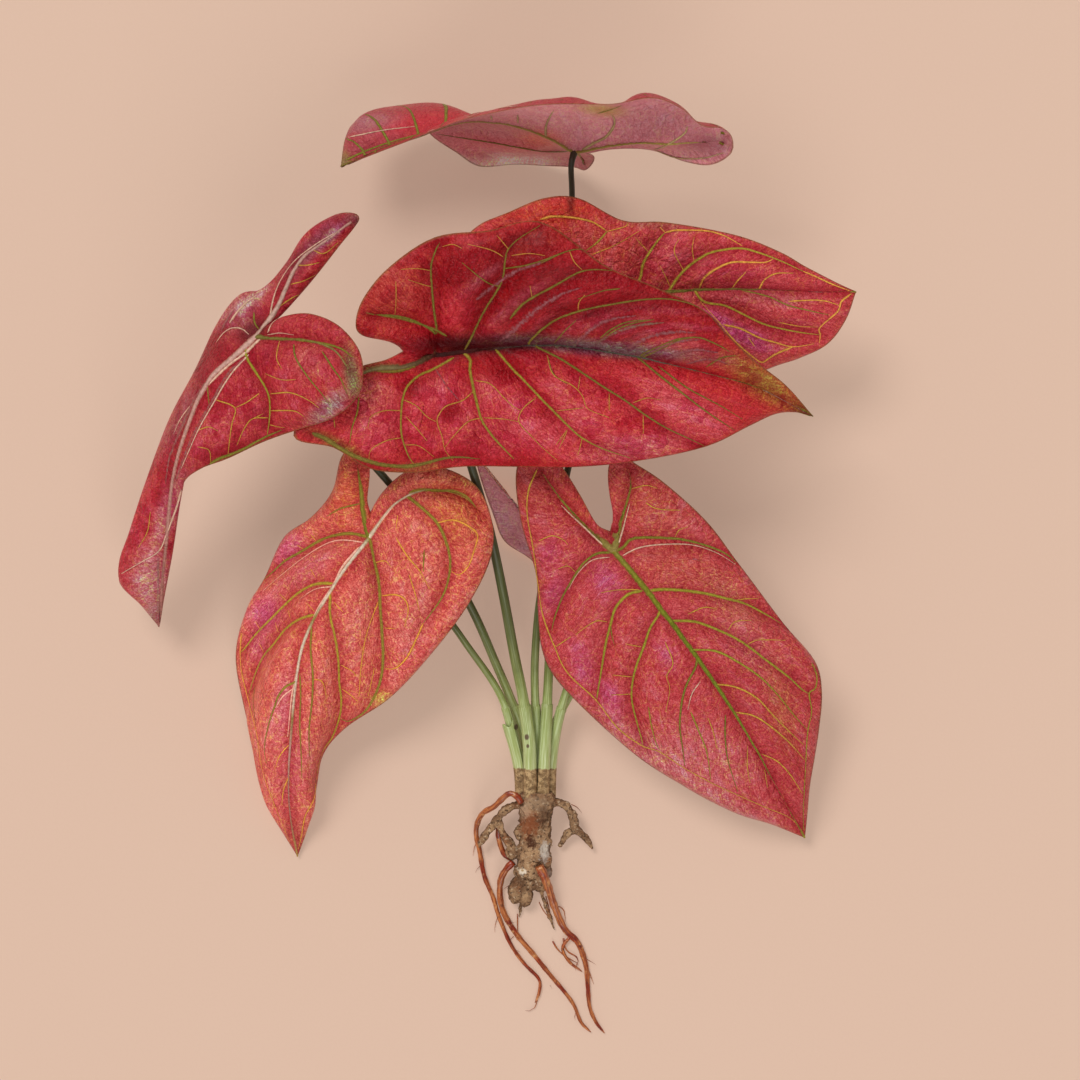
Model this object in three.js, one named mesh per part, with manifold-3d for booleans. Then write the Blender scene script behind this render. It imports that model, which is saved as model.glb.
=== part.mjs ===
// A caladium lifted from its pot: seven leaf blades, each on its leaf stalk, the stalks' bases packed side
// by side on a short rhizome, and the roots below. It lies on its back on a flat surface.
// Millimetres. Z = 0 is that surface and +Z is up. +Y runs from the roots to the leaves.
import * as THREE from 'three';
import { mergeVertices } from 'three/addons/utils/BufferGeometryUtils.js';
import Module from 'manifold-3d';

const wasm = await Module();
wasm.setup();

// ---- Driving dimensions

const BLADE_HALF_THICKNESS = 0.35;
const RIB_DEPTH = 1.1; // how far the main ribs stand out under a blade, where the stalk joins it
const CAMBER = 0.07; // how far half a blade arches up, as a share of its width there
const QUILTING = 1.6; // how far the blade swells between two side veins
const VEIN_SWEEP = 0.13; // how far a side vein bows back towards the stalk, as a share of its length
const BOW_STARTS = 0.125; // share of a main rib over which that bow grows from nothing
const BOW_ENDS = 0.1; // share of a lobe's vein over which it goes again
const ROWS_PER_VEIN = 2;
const COLUMNS = 4; // of a blade's grid, from a main rib to the margin
const RIB_STEP = 0.02; // the points of a main rib lie at whole multiples of this share of its length
const SEAT_GAP = 0.3; // between a piece and what carries it
const WELD_DISTANCE = 1e-3; // vertices nearer than this are one
const FULL_TURN = 2 * Math.PI;
const GOLDEN_ANGLE = 2.4;

// The blades, each seen with its upper face towards the eye and its tip ahead. A midrib runs from the stalk
// to the tip, and the sinus is the bottom of the notch between the two lobes. A side holds the vein of its
// lobe, without its first point, which is the midrib's, and the margin from the sinus round the lobe to the
// tip. Each point of a margin is where a side vein ends. The fourth number says where that vein starts: from
// 0 to 1 along the midrib, or from 0 to -1 along the lobe's vein.
const LEAVES = {
  lower_right: {
    color: 0xb65548,
    rests: false,
    midrib: [
      [65, 12, 66], [81, -7, 70], [108, -43, 64], [133, -81, 46], [163, -134, 10],
    ],
    sinus: [63, 22, 66],
    left: {
      lobeVein: [[68, 26, 68], [73, 44, 72], [72, 55, 75]],
      margin: [
        [65, 32, 69, -0.22], [62, 47, 72, -0.6], [63, 57, 76, -0.92], [68, 61, 78, -1],
        [75, 56, 77, -0.93], [90, 46, 73, -0.62], [111, 27, 67, -0.25], [128, 5, 60, 0.02],
        [150, -24, 52, 0.13], [166, -43, 46, 0.2], [170, -59, 40, 0.26], [169, -78, 31, 0.36],
        [167, -93, 26, 0.47], [165, -107, 20, 0.59], [164, -122, 14, 0.76],
      ],
    },
    right: {
      lobeVein: [[50, 26, 66], [38, 39, 70], [28, 53, 74]],
      margin: [
        [56, 26, 68, -0.18], [48, 40, 71, -0.5], [39, 54, 75, -0.8], [31, 62, 77, -0.95],
        [25, 65, 77, -1], [18, 58, 74, -0.93], [16, 46, 71, -0.72], [19, 25, 65, -0.42],
        [26, 1, 56, -0.16], [27, -18, 49, -0.02], [29, -37, 44, 0.02], [36, -52, 38, 0.07],
        [55, -72, 33, 0.13], [79, -93, 27, 0.22], [101, -107, 23, 0.38], [115, -115, 20, 0.46],
        [130, -122, 17, 0.56], [146, -127, 13, 0.72],
      ],
    },
  },
  lower_left: {
    color: 0xcc6a48,
    rests: true,
    midrib: [
      [-57, 19, 70], [-74, -4, 72], [-91, -37, 62], [-98, -88, 38], [-99, -117, 20],
      [-96, -144, 5],
    ],
    sinus: [-57, 31, 68],
    left: {
      lobeVein: [[-44, 36, 73], [-27, 43, 76], [-10, 39, 73], [-1, 29, 68]],
      margin: [
        [-50, 42, 71, -0.2], [-38, 52, 75, -0.42], [-22, 54, 78, -0.62], [-4, 45, 74, -0.84],
        [4, 27, 67, -1], [3, 8, 61, -0.6], [-9, -16, 54, -0.3], [-28, -41, 46, -0.1],
        [-48, -62, 39, 0.01], [-70, -77, 32, 0.15], [-82, -91, 24, 0.3], [-86, -109, 16, 0.48],
        [-90, -127, 9, 0.75],
      ],
    },
    right: {
      lobeVein: [[-60, 32, 70], [-61, 44, 72], [-63, 57, 73]],
      margin: [
        [-59, 42, 70, -0.35], [-57, 57, 73, -0.8], [-63, 66, 74, -1], [-71, 59, 70, -0.9],
        [-76, 42, 60, -0.55], [-87, 29, 52, -0.22], [-101, 19, 43, -0.04], [-111, -1, 33, 0.01],
        [-121, -18, 24, 0.07], [-127, -41, 14, 0.14], [-123, -68, 8, 0.26], [-116, -95, 5, 0.45],
        [-110, -120, 3, 0.7],
      ],
    },
  },
  center: {
    color: 0xa62f35,
    rests: false,
    midrib: [
      [-24, 109, 104], [8, 113, 104], [38, 114, 106], [77, 108, 107], [107, 101, 105],
      [136, 93, 100], [163, 79, 88],
    ],
    sinus: [-38, 111, 106],
    left: {
      lobeVein: [[-22, 118, 108], [-35, 126, 114], [-47, 128, 117], [-57, 128, 118]],
      margin: [
        [-46, 115, 111, -0.45], [-59, 118, 115, -0.85], [-62, 124, 118, -1],
        [-58, 136, 121, -0.82], [-45, 151, 126, -0.52], [-23, 165, 130, -0.22],
        [3, 168, 133, -0.05], [29, 172, 134, 0.08], [60, 151, 132, 0.16], [84, 141, 128, 0.2],
        [108, 130, 120, 0.26], [120, 118, 115, 0.42], [133, 106, 107, 0.56], [149, 94, 98, 0.76],
      ],
    },
    right: {
      lobeVein: [[-38, 103, 107], [-55, 101, 109], [-72, 91, 110], [-87, 74, 108]],
      margin: [
        [-48, 106, 108, -0.3], [-62, 102, 111, -0.5], [-79, 91, 111, -0.74], [-93, 69, 107, -1],
        [-73, 63, 103, -0.72], [-56, 53, 99, -0.38], [-34, 51, 96, -0.03], [-10, 54, 94, 0.03],
        [18, 54, 92, 0.09], [47, 54, 91, 0.12], [77, 57, 91, 0.17], [110, 64, 91, 0.28],
        [131, 74, 90, 0.42], [144, 80, 90, 0.58], [154, 81, 89, 0.82],
      ],
    },
  },
  upper_right: {
    color: 0xa34f3c,
    rests: false,
    midrib: [
      [58, 137, 72], [98, 142, 75], [137, 143, 72], [168, 142, 66], [186, 142, 60],
    ],
    sinus: [47, 141, 72],
    left: {
      lobeVein: [[45, 149, 74], [30, 162, 77], [11, 169, 79]],
      margin: [
        [34, 147, 74, -0.3], [14, 152, 76, -0.65], [-2, 158, 78, -0.92], [-9, 166, 79, -1],
        [-2, 174, 81, -0.85], [12, 180, 82, -0.68], [30, 187, 84, -0.4], [47, 187, 84, -0.18],
        [69, 176, 84, 0.02], [91, 175, 84, 0.13], [125, 169, 80, 0.29], [147, 161, 76, 0.42],
        [160, 154, 71, 0.52], [174, 147, 67, 0.66],
      ],
    },
    right: {
      lobeVein: [[49, 128, 69], [47, 115, 64], [45, 104, 61]],
      margin: [
        [44, 130, 70, -0.3], [38, 115, 66, -0.7], [37, 100, 61, -1], [48, 90, 58, -0.8],
        [69, 86, 56, -0.3], [94, 87, 55, 0], [114, 91, 54, 0.1], [132, 99, 54, 0.2],
        [146, 105, 54, 0.3], [158, 109, 54, 0.42], [172, 116, 55, 0.58], [181, 128, 57, 0.78],
      ],
    },
  },
  left: {
    color: 0xa32c34,
    rests: false,
    midrib: [
      [-111, 117, 112], [-122, 107, 110], [-135, 95, 104], [-145, 74, 94], [-153, 50, 80],
      [-158, 20, 62], [-162, -5, 44], [-165, -26, 28],
    ],
    sinus: [-104, 123, 113],
    left: {
      lobeVein: [[-99, 116, 118], [-85, 115, 124], [-72, 110, 128], [-64, 100, 130]],
      margin: [
        [-97, 127, 118, -0.2], [-84, 128, 123, -0.5], [-70, 122, 128, -0.75],
        [-60, 110, 130, -0.92], [-58, 97, 130, -1], [-62, 86, 126, -0.85], [-74, 77, 120, -0.6],
        [-90, 72, 112, -0.25], [-108, 66, 102, 0.05], [-126, 58, 93, 0.14], [-140, 53, 86, 0.24],
        [-149, 46, 78, 0.36], [-152, 32, 69, 0.5], [-156, 12, 55, 0.66], [-161, -9, 40, 0.84],
      ],
    },
    right: {
      lobeVein: [[-101, 131, 109], [-90, 154, 106], [-75, 166, 103], [-65, 174, 101]],
      margin: [
        [-98, 129, 108, -0.15], [-85, 144, 105, -0.4], [-71, 162, 102, -0.75], [-61, 176, 99, -1],
        [-69, 179, 96, -0.95], [-80, 174, 94, -0.75], [-92, 160, 91, -0.5], [-106, 143, 88, -0.18],
        [-119, 138, 85, 0], [-131, 121, 80, 0.08], [-142, 98, 73, 0.2], [-155, 74, 63, 0.36],
        [-167, 44, 50, 0.54], [-177, 19, 38, 0.68], [-185, -2, 30, 0.8], [-175, -14, 27, 0.9],
      ],
    },
  },
  top: {
    color: 0x96605d,
    rests: true,
    midrib: [
      [45, 211, 66], [30, 219, 68], [11, 225, 68], [-9, 226, 66], [-28, 221, 62], [-52, 213, 56],
      [-72, 205, 50],
    ],
    sinus: [51, 211, 60],
    left: {
      lobeVein: [[58, 213, 72], [76, 214, 84], [93, 213, 96], [109, 213, 104]],
      margin: [
        [65, 213, 64, -0.25], [83, 212, 71, -0.45], [101, 205, 83, -0.7], [113, 203, 94, -0.88],
        [122, 208, 104, -1], [122, 215, 112, -0.98], [117, 219, 117, -0.92], [107, 220, 121, -0.8],
        [97, 228, 124, -0.6], [83, 233, 126, -0.4], [63, 230, 127, -0.12], [38, 230, 127, 0.03],
        [21, 229, 124, 0.12], [6, 227, 114, 0.26], [-9, 225, 98, 0.4], [-22, 222, 80, 0.54],
        [-37, 217, 68, 0.68], [-55, 211, 58, 0.84],
      ],
    },
    right: {
      lobeVein: [[48, 211, 42], [50, 208, 24]],
      margin: [
        [55, 211, 44, -0.5], [55, 209, 28, -0.85], [51, 206, 15, -1], [45, 208, 9, -0.6],
        [32, 209, 4, -0.1], [15, 210, 1, 0.03], [-3, 209, 1, 0.12], [-15, 216, 4, 0.26],
        [-26, 223, 9, 0.4], [-36, 232, 15, 0.54], [-51, 232, 23, 0.66], [-65, 229, 33, 0.78],
        [-70, 220, 42, 0.89],
      ],
    },
  },
  under: {
    color: 0xc08a8a,
    rests: true,
    midrib: [
      [61, -33, 24], [43, -3, 22], [20, 30, 16], [-6, 63, 12],
    ],
    sinus: [68, -43, 22],
    left: {
      lobeVein: [[74, -42, 20], [92, -54, 11]],
      margin: [
        [79, -54, 20, -0.4], [95, -67, 12, -0.9], [107, -64, 8, -1], [110, -46, 3, -0.5],
        [102, -23, 1, -0.05], [84, -3, 1, 0.08], [59, 14, 1, 0.25], [36, 25, 4, 0.45],
        [17, 35, 10, 0.64], [6, 47, 14, 0.84],
      ],
    },
    right: {
      lobeVein: [[62, -47, 18], [62, -61, 10]],
      margin: [
        [67, -57, 18, -0.5], [65, -72, 10, -1], [54, -67, 5, -0.8], [44, -51, 2, -0.35],
        [36, -33, 1, 0], [32, -13, 1, 0.08], [25, 6, 1, 0.26], [10, 17, 4, 0.45], [4, 31, 8, 0.66],
        [-2, 48, 11, 0.85],
      ],
    },
  },
};

// The leaf stalks, from the rhizome up. Each route ends below its blade, and the stalk's own last stretch,
// which stands square on the blade, is added to it. radii are at the base, above the sheath and at the blade.
const STALKS = {
  lower_left: {
    route: [
      [19, -113, 12], [18, -98, 12], [14, -80, 14], [10, -66, 19], [4, -54, 25], [-7, -38, 35],
      [-23, -16, 47],
    ],
    radii: [3.1, 1.9, 1.4],
  },
  left: {
    route: [
      [22, -113, 6], [22, -98, 5], [19, -80, 6], [13, -63, 12], [6, -46, 21], [-8, -14, 38],
      [-34, 30, 57], [-48, 47, 62], [-65, 66, 67], [-77, 79, 78], [-97, 101, 100],
    ],
    radii: [3.1, 2.3, 1.6],
  },
  center: {
    route: [
      [23, -113, 17], [23, -98, 18], [22, -80, 21], [19, -60, 27], [15, -40, 33], [9, -7, 43],
      [3, 22, 54], [-2, 40, 61], [-7, 57, 71], [-15, 84, 87],
    ],
    radii: [3.4, 2.7, 1.8],
  },
  upper_right: {
    route: [
      [26, -113, 11.5], [26.3, -98, 11.5], [26.5, -80, 14], [25.5, -62, 20], [25.5, -41, 27],
      [28, -12, 34], [34, 18, 41], [41, 49, 46], [48, 80, 51], [54, 108, 57],
    ],
    radii: [3.1, 2.1, 1.5],
  },
  top: {
    route: [
      [29.5, -113, 16.5], [30, -98, 17.3], [31, -80, 19], [32, -58, 22], [33, -36, 24],
      [34.5, -6, 29], [36, 33, 34], [38, 56, 38], [41, 98, 44], [43, 138, 50], [44, 169, 55],
      [44, 192, 59],
    ],
    radii: [3.1, 2.4, 1.4],
  },
  lower_right: {
    route: [
      [33, -113, 11.5], [33.6, -98, 11.4], [36, -80, 15], [41, -60, 24], [48, -40, 34],
      [57, -16, 46],
    ],
    radii: [3.1, 2.1, 1.5],
  },
  under: {
    route: [
      [29.5, -113, 6], [29.8, -98, 5.2], [34, -80, 7], [42, -64, 15], [52, -48, 25], [60, -38, 31],
    ],
    radii: [3.1, 1.8, 1.4],
  },
};
const STALK_SIDES = 8;
const SHEATH_LENGTH = 48; // the swollen sheath at the foot of a stalk
const SHEATH_LIP = 1.22; // the sheath's radius at its lip, as a share of the stalk's above it
const LIP_LENGTH = 6; // over which the sheath's lip falls back to the stalk
const STALK_LAST_STRETCH = 7; // the end of a stalk that stands square on its blade
const STALK_STEP = 12; // length of one step of a stalk's tube
const DOME_HEIGHT = 0.7; // of a tube's rounded end, as a share of its radius
const DOME_SLOPES = [0.5, 1]; // where its rings lie, in radians

// A torn sheath's wall stands round a stalk between two angles, in radians from the side that faces -X. It
// thins to a share of its wall at its two edges and at its top, which leans out by the flare. The tear's
// slope and waves lower the top from one edge to the other, as shares of the height.
const TORN_SHEATH = {
  beside: 'lower_left',
  height: 42,
  from: -1.2,
  to: 1.2,
  wall: 1.2,
  edgeShare: 0.55,
  topShare: 0.7,
  flare: 1.6,
  easing: 1.06, // of the radius of the stalk inside it
  tear: { slope: 0.22, waveHeight: 0.06, wave: 9 },
  rows: 8,
  columns: 6,
};

// The rhizome's radii are given at shares of its length. Rings, where older leaves grew, and lumps wave over
// its skin, and buds sit on it in a spiral. A knob and a bud are rounded lumps sunk into it.
const RHIZOME = {
  crown: -113.6,
  axis: [
    [26.6, -110, 12], [26, -118, 10.8], [25.5, -125, 8.4], [25.5, -136, 7.4], [24.5, -145, 7.6],
    [21.5, -154, 7],
  ],
  radii: [[0, 9.9], [0.12, 9.6], [0.3, 8.1], [0.55, 7.9], [0.75, 8.7], [1, 6]],
  steps: 14,
  sides: 14,
  rings: { count: 6, height: 0.25 },
  lumps: [
    { height: 0.35, round: 3, along: 7 },
    { height: 0.2, round: 5, along: -11 },
  ],
  knobs: [
    { at: [16.6, -160.5, 6], size: [4.6, 8, 4.8], turn: -0.25 },
    { at: [20.6, -164.5, 5.4], size: [3.9, 5.6, 4], turn: -0.1 },
    { at: [27.5, -156, 6.2], size: [4.6, 6.4, 4.4], turn: 0.4 },
    { at: [30.5, -144.5, 8.6], size: [3.8, 7, 4.2], turn: 0.1 },
    { at: [13.5, -142, 8.5], size: [3.6, 3.4, 3], turn: 0 },
  ],
  buds: { count: 14, from: 0.12, to: 0.95, radius: 1.7, variation: 0.3, flatness: 0.8, sunk: 0.5 },
  stoutRoots: [
    {
      route: [
        [22, -117, 12], [13, -118, 13], [6.5, -124, 12], [0.5, -132, 9.5], [-3.5, -139.5, 7.6],
      ],
      radii: [2.5, 1.8],
    },
    {
      route: [[6.5, -124, 12], [9, -131, 10], [13.5, -138.5, 9], [18, -142, 9]],
      radii: [1.9, 2.1],
    },
    {
      route: [
        [29, -118, 10], [38, -116.5, 11.5], [43.5, -121, 10], [46.5, -129.5, 7.5], [51, -134, 5.6],
        [55, -140, 4],
      ],
      radii: [2.4, 1.8],
    },
    {
      route: [[46.5, -129.5, 7.5], [41.5, -133, 5.6], [38, -139, 3.8]],
      radii: [1.9, 1.8],
    },
    {
      route: [[20, -164, 3], [18.2, -170, 2], [17.4, -176, 1.2]],
      radii: [0.9, 0.6],
    },
    {
      route: [[28, -160, 5], [31.5, -171, 3], [35.5, -182, 1.6]],
      radii: [1.2, 0.6],
    },
  ],
};
const LUMP_SEGMENTS = [8, 6]; // of a knob or bud, round it and from pole to pole
const BLOCK = 600; // edge of a block to cut with

const ROOT_SIDES = 6;
const ROOT_STEP = 7; // length of one step of a root's tube
const ROOT_FEWEST_STEPS = 3;
const ROOTS = {
  root_left: {
    route: [
      [18.4, -115.8, 19.2], [16.2, -112.4, 20.2], [12.4, -111, 19.4], [8.6, -114, 17.6],
      [4.5, -118, 14.5], [-1, -121.4, 10], [-4, -127, 6], [-4.6, -133, 3], [-3, -140.5, 2],
      [-0.5, -154, 1.6], [4, -165, 1.6], [7, -175, 1.5], [13, -189, 1.4], [20, -199, 1.3],
      [27.5, -207, 1.2], [27.5, -214, 1.2], [25.5, -219, 1.2],
    ],
    radii: [1.6, 0.8],
  },
  root_middle: {
    route: [
      [14.4, -146.6, 8.6], [11, -150, 7.6], [8, -156, 4.5], [7.6, -165, 2.4], [10, -174, 1.8],
      [16.5, -184.5, 1.5], [24.5, -194, 1.4], [33, -204.5, 1.3], [41, -214, 1.2],
      [45.5, -220.5, 1.2], [49, -229, 1.1], [54, -234, 1.1],
    ],
    radii: [1.8, 0.8],
  },
  root_right: {
    route: [
      [27.6, -148.2, 17.2], [30.2, -153.6, 15.2], [32.8, -161, 9.8], [35.6, -170, 4.8],
      [40.5, -181, 2.2], [47.5, -188.5, 1.8], [51.5, -200, 1.5], [52.5, -211, 1.3],
      [53.5, -221.5, 1.2], [57, -229.5, 1.1], [61, -234.5, 1.1],
    ],
    radii: [2.3, 0.8],
    branches: [
      { route: [[43.5, -185, 2], [39.5, -191, 1.6], [43, -198, 1.3], [49.5, -203, 1.1]], radii: [0.9, 0.7] },
    ],
  },
  root_loop: {
    route: [[6.6, -128.6, 8], [7, -135, 5.4], [9.4, -142, 4.6], [13.6, -146.2, 4.4]],
    radii: [1.3, 1.5],
  },
};

// ---- Curves and meshes

const point = ([x, y, z]) => new THREE.Vector3(x, y, z);
const smoothCurve = (points) => new THREE.CatmullRomCurve3(points, false, 'catmullrom', 0.5);
const mix = THREE.MathUtils.lerp;
const clamp = THREE.MathUtils.clamp;

function geometryOf(points, triangles) {
  const geometry = new THREE.BufferGeometry().setFromPoints(points);
  geometry.setIndex(triangles.flat());
  geometry.computeVertexNormals();
  return geometry;
}

function normalsOf(points, triangles) {
  const normals = points.map(() => new THREE.Vector3());
  const toSecond = new THREE.Vector3();
  const toThird = new THREE.Vector3();
  for (const corners of triangles) {
    const [first, second, third] = corners.map((id) => points[id]);
    toSecond.subVectors(second, first);
    toThird.subVectors(third, first);
    toSecond.cross(toThird);
    corners.forEach((id) => normals[id].add(toSecond));
  }
  return normals.map((normal) => normal.normalize());
}

// ---- Leaf blades

// A side of a blade is swept along q: -2 to -1 out along the lobe's vein, -1 to 0 back along its other side,
// and 0 to 1 along the midrib to the tip.
function spineAt(midrib, lobeVein, q) {
  if (q < -1) return { curve: lobeVein, share: q + 2 };
  if (q < 0) return { curve: lobeVein, share: -q };
  return { curve: midrib, share: q };
}

// How much of its bow a side vein has: none at the stalk and at the lobe's end.
function bowShare({ curve, share }, lobeVein) {
  const pastStalk = clamp(share / BOW_STARTS, 0, 1);
  const beforeEnd = curve === lobeVein ? clamp((1 - share) / BOW_ENDS, 0, 1) : 1;
  return pastStalk * beforeEnd;
}

// The rows of one side, without the last, which is the tip alone. Each holds q and a line of points from the
// spine to the margin, along a side vein or between two of them.
function rowsOfSide(shape, side) {
  const midribPoints = shape.midrib.map(point);
  const midrib = smoothCurve(midribPoints);
  const lobeVein = smoothCurve([midribPoints[0], ...side.lobeVein.map(point)]);
  const lobeEnd = side.margin.findIndex((entry) => entry[3] === -1);
  const knots = [
    { at: point(shape.sinus), q: -2 },
    ...side.margin.map((entry, i) => ({
      at: point(entry),
      q: i < lobeEnd ? -2 - entry[3] : entry[3],
    })),
    { at: midribPoints.at(-1), q: 1 },
  ];
  const margin = smoothCurve(knots.map((knot) => knot.at));
  const veins = knots.length - 1;
  const rows = [];
  for (let i = 0; i < veins * ROWS_PER_VEIN; i++) {
    const vein = Math.floor(i / ROWS_PER_VEIN);
    const between = i / ROWS_PER_VEIN - vein;
    const q = mix(knots[vein].q, knots[vein + 1].q, between);
    const spine = spineAt(midrib, lobeVein, q);
    const start = spine.curve.getPointAt(spine.share);
    const end = margin.getPoint(i / ROWS_PER_VEIN / veins);
    const width = start.distanceTo(end);
    const bow = VEIN_SWEEP * width * bowShare(spine, lobeVein);
    const handle = start.clone().add(end).multiplyScalar(0.5);
    handle.addScaledVector(spine.curve.getTangentAt(spine.share), -2 * bow);
    const line = new THREE.QuadraticBezierCurve3(start, handle, end);
    const swell = QUILTING * Math.sin(Math.PI * between) ** 2;
    rows.push({ q, points: line.getPoints(COLUMNS), arch: CAMBER * width + swell });
  }
  return rows;
}

// Fills the strip between two lines of vertices that run side by side, in order of q.
function zip(inner, outer, addTriangle) {
  let i = 0;
  let j = 0;
  while (i < inner.length - 1 || j < outer.length - 1) {
    const innerNext = i < inner.length - 1 ? inner[i + 1].q : Infinity;
    const outerNext = j < outer.length - 1 ? outer[j + 1].q : Infinity;
    if (innerNext <= outerNext) {
      addTriangle(inner[i].id, inner[i + 1].id, outer[j].id);
      i++;
    } else {
      addTriangle(inner[i].id, outer[j + 1].id, outer[j].id);
      j++;
    }
  }
}

// The blade as one sheet, with no thickness yet: its points, its triangles with their fronts on the upper
// face, and how deep the rib is under each point.
function bladeSheet(shape) {
  const points = [];
  const arches = [];
  const ribs = [];
  const triangles = [];
  const add = (at, arch, rib) => {
    arches.push(arch);
    ribs.push(rib);
    return points.push(at) - 1;
  };
  const sides = [shape.left, shape.right];
  const rows = sides.map((side) => rowsOfSide(shape, side));
  const midrib = smoothCurve(shape.midrib.map(point));
  const hub = add(midrib.getPointAt(0), 0, RIB_DEPTH);
  const tip = add(midrib.getPointAt(1), 0, 0);
  const stations = (wanted) => [...new Set(wanted.map((share) => Math.round(share / RIB_STEP)))]
    .map((step) => step * RIB_STEP)
    .filter((share) => share > 0 && share < 1)
    .sort((a, b) => a - b);
  const ribLine = (curve, shares) => shares.map((share) => ({
    share,
    id: add(curve.getPointAt(share), 0, RIB_DEPTH * (1 - share)),
  }));
  const midribLine = ribLine(midrib, stations(rows.flat().map((row) => row.q)));
  let sharedRow = null;
  sides.forEach((side, which) => {
    const addTriangle = (a, b, c) => {
      if (a !== b && b !== c && c !== a) triangles.push(which === 0 ? [a, b, c] : [a, c, b]);
    };
    const lobeVein = smoothCurve([point(shape.midrib[0]), ...side.lobeVein.map(point)]);
    const lobeShares = rows[which]
      .filter((row) => row.q < 0)
      .map((row) => (row.q < -1 ? row.q + 2 : -row.q));
    const lobeLine = ribLine(lobeVein, stations(lobeShares));
    const lobeEnd = add(lobeVein.getPointAt(1), 0, 0);
    const spine = [
      { q: -2, id: hub },
      ...lobeLine.map(({ share, id }) => ({ q: share - 2, id })),
      { q: -1, id: lobeEnd },
      ...lobeLine.toReversed().map(({ share, id }) => ({ q: -share, id })),
      { q: 0, id: hub },
      ...midribLine.map(({ share, id }) => ({ q: share, id })),
      { q: 1, id: tip },
    ];
    const grid = rows[which].map((row, i) => {
      if (i === 0 && sharedRow) return sharedRow;
      return row.points.slice(1).map((at, column) => {
        const across = (column + 1) / COLUMNS;
        return add(at, i === 0 ? 0 : row.arch * 4 * across * (1 - across), 0);
      });
    });
    sharedRow = grid[0];
    grid.push(Array(COLUMNS).fill(tip));
    const paths = [...rows[which].map((row) => row.q), 1];
    zip(spine, grid.map((line, i) => ({ q: paths[i], id: line[0] })), addTriangle);
    for (let i = 0; i < grid.length - 1; i++) {
      for (let j = 0; j < COLUMNS - 1; j++) {
        addTriangle(grid[i][j], grid[i + 1][j], grid[i + 1][j + 1]);
        addTriangle(grid[i][j], grid[i + 1][j + 1], grid[i][j + 1]);
      }
    }
  });
  return { points, arches, ribs, triangles, hub };
}

// The directed edges that have a triangle on one side only: the margin.
function openEdges(triangles) {
  const edges = new Map();
  for (const [a, b, c] of triangles) {
    for (const [from, to] of [[a, b], [b, c], [c, a]]) edges.set(`${from},${to}`, [from, to]);
  }
  return [...edges.values()].filter(([from, to]) => !edges.has(`${to},${from}`));
}

function makeBlade(shape) {
  const { points, arches, ribs, triangles, hub } = bladeSheet(shape);
  const flatNormals = normalsOf(points, triangles);
  points.forEach((at, id) => at.addScaledVector(flatNormals[id], arches[id]));
  const normals = normalsOf(points, triangles);
  const upper = points.map((at, id) => at.clone().addScaledVector(normals[id], BLADE_HALF_THICKNESS));
  const lower = points.map((at, id) => {
    const depth = BLADE_HALF_THICKNESS + ribs[id];
    return at.clone().addScaledVector(normals[id], -depth);
  });
  const all = [...upper, ...lower];
  if (shape.rests) {
    const lowest = Math.min(...all.map((at) => at.z));
    all.forEach((at) => {
      at.z -= lowest;
    });
  }
  const below = points.length;
  const closed = [
    ...triangles,
    ...triangles.map(([a, b, c]) => [a + below, c + below, b + below]),
    ...openEdges(triangles).flatMap(([a, b]) => [[b, a, a + below], [b, a + below, b + below]]),
  ];
  return { geometry: geometryOf(all, closed), seat: lower[hub], down: normals[hub].clone().negate() };
}

// ---- Round pieces

// A closed solid of rings round a curve. radiusAt(share, angle) gives its radius, the start is flat, and the
// end is a low dome.
function tube(curve, radiusAt, { steps, sides }) {
  const frames = curve.computeFrenetFrames(steps, false);
  const rings = [];
  for (let i = 0; i <= steps; i++) {
    rings.push({ frame: i, centre: curve.getPointAt(i / steps), share: i / steps, scale: 1 });
  }
  const end = rings.at(-1);
  const endRadius = radiusAt(1, 0);
  const capHeight = endRadius * DOME_HEIGHT;
  const onCap = (rise) => end.centre.clone().addScaledVector(frames.tangents[steps], rise * capHeight);
  for (const slope of DOME_SLOPES) {
    rings.push({ ...end, centre: onCap(Math.sin(slope)), scale: Math.cos(slope) });
  }
  const points = rings.flatMap(({ frame, centre, share, scale }) => Array.from({ length: sides }, (_, k) => {
    const angle = FULL_TURN * k / sides;
    const radius = radiusAt(share, angle) * scale;
    return centre.clone()
      .addScaledVector(frames.normals[frame], radius * Math.cos(angle))
      .addScaledVector(frames.binormals[frame], radius * Math.sin(angle));
  }));
  const first = points.push(rings[0].centre) - 1;
  const last = points.push(onCap(1)) - 1;
  const triangles = [];
  for (let k = 0; k < sides; k++) {
    const next = (k + 1) % sides;
    for (let i = 0; i < rings.length - 1; i++) {
      const here = i * sides;
      const above = here + sides;
      triangles.push([here + k, here + next, above + next], [here + k, above + next, above + k]);
    }
    const top = (rings.length - 1) * sides;
    triangles.push([first, next, k], [last, top + k, top + next]);
  }
  return geometryOf(points, triangles);
}

function solidOf(geometry) {
  const bare = geometry.clone();
  bare.deleteAttribute('normal');
  bare.deleteAttribute('uv');
  const merged = mergeVertices(bare, WELD_DISTANCE);
  return new wasm.Manifold(new wasm.Mesh({
    numProp: 3,
    vertProperties: merged.attributes.position.array,
    triVerts: new Uint32Array(merged.index.array),
  }));
}

function geometryOfSolid(solid) {
  const { vertProperties, triVerts } = solid.getMesh();
  const geometry = new THREE.BufferGeometry();
  geometry.setAttribute('position', new THREE.BufferAttribute(vertProperties, 3));
  geometry.setIndex(new THREE.BufferAttribute(triVerts, 1));
  geometry.computeVertexNormals();
  return geometry;
}

const joined = (solids) => solids.reduce((whole, piece) => whole.add(piece));

// ---- Leaf stalks and the torn sheath

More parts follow.
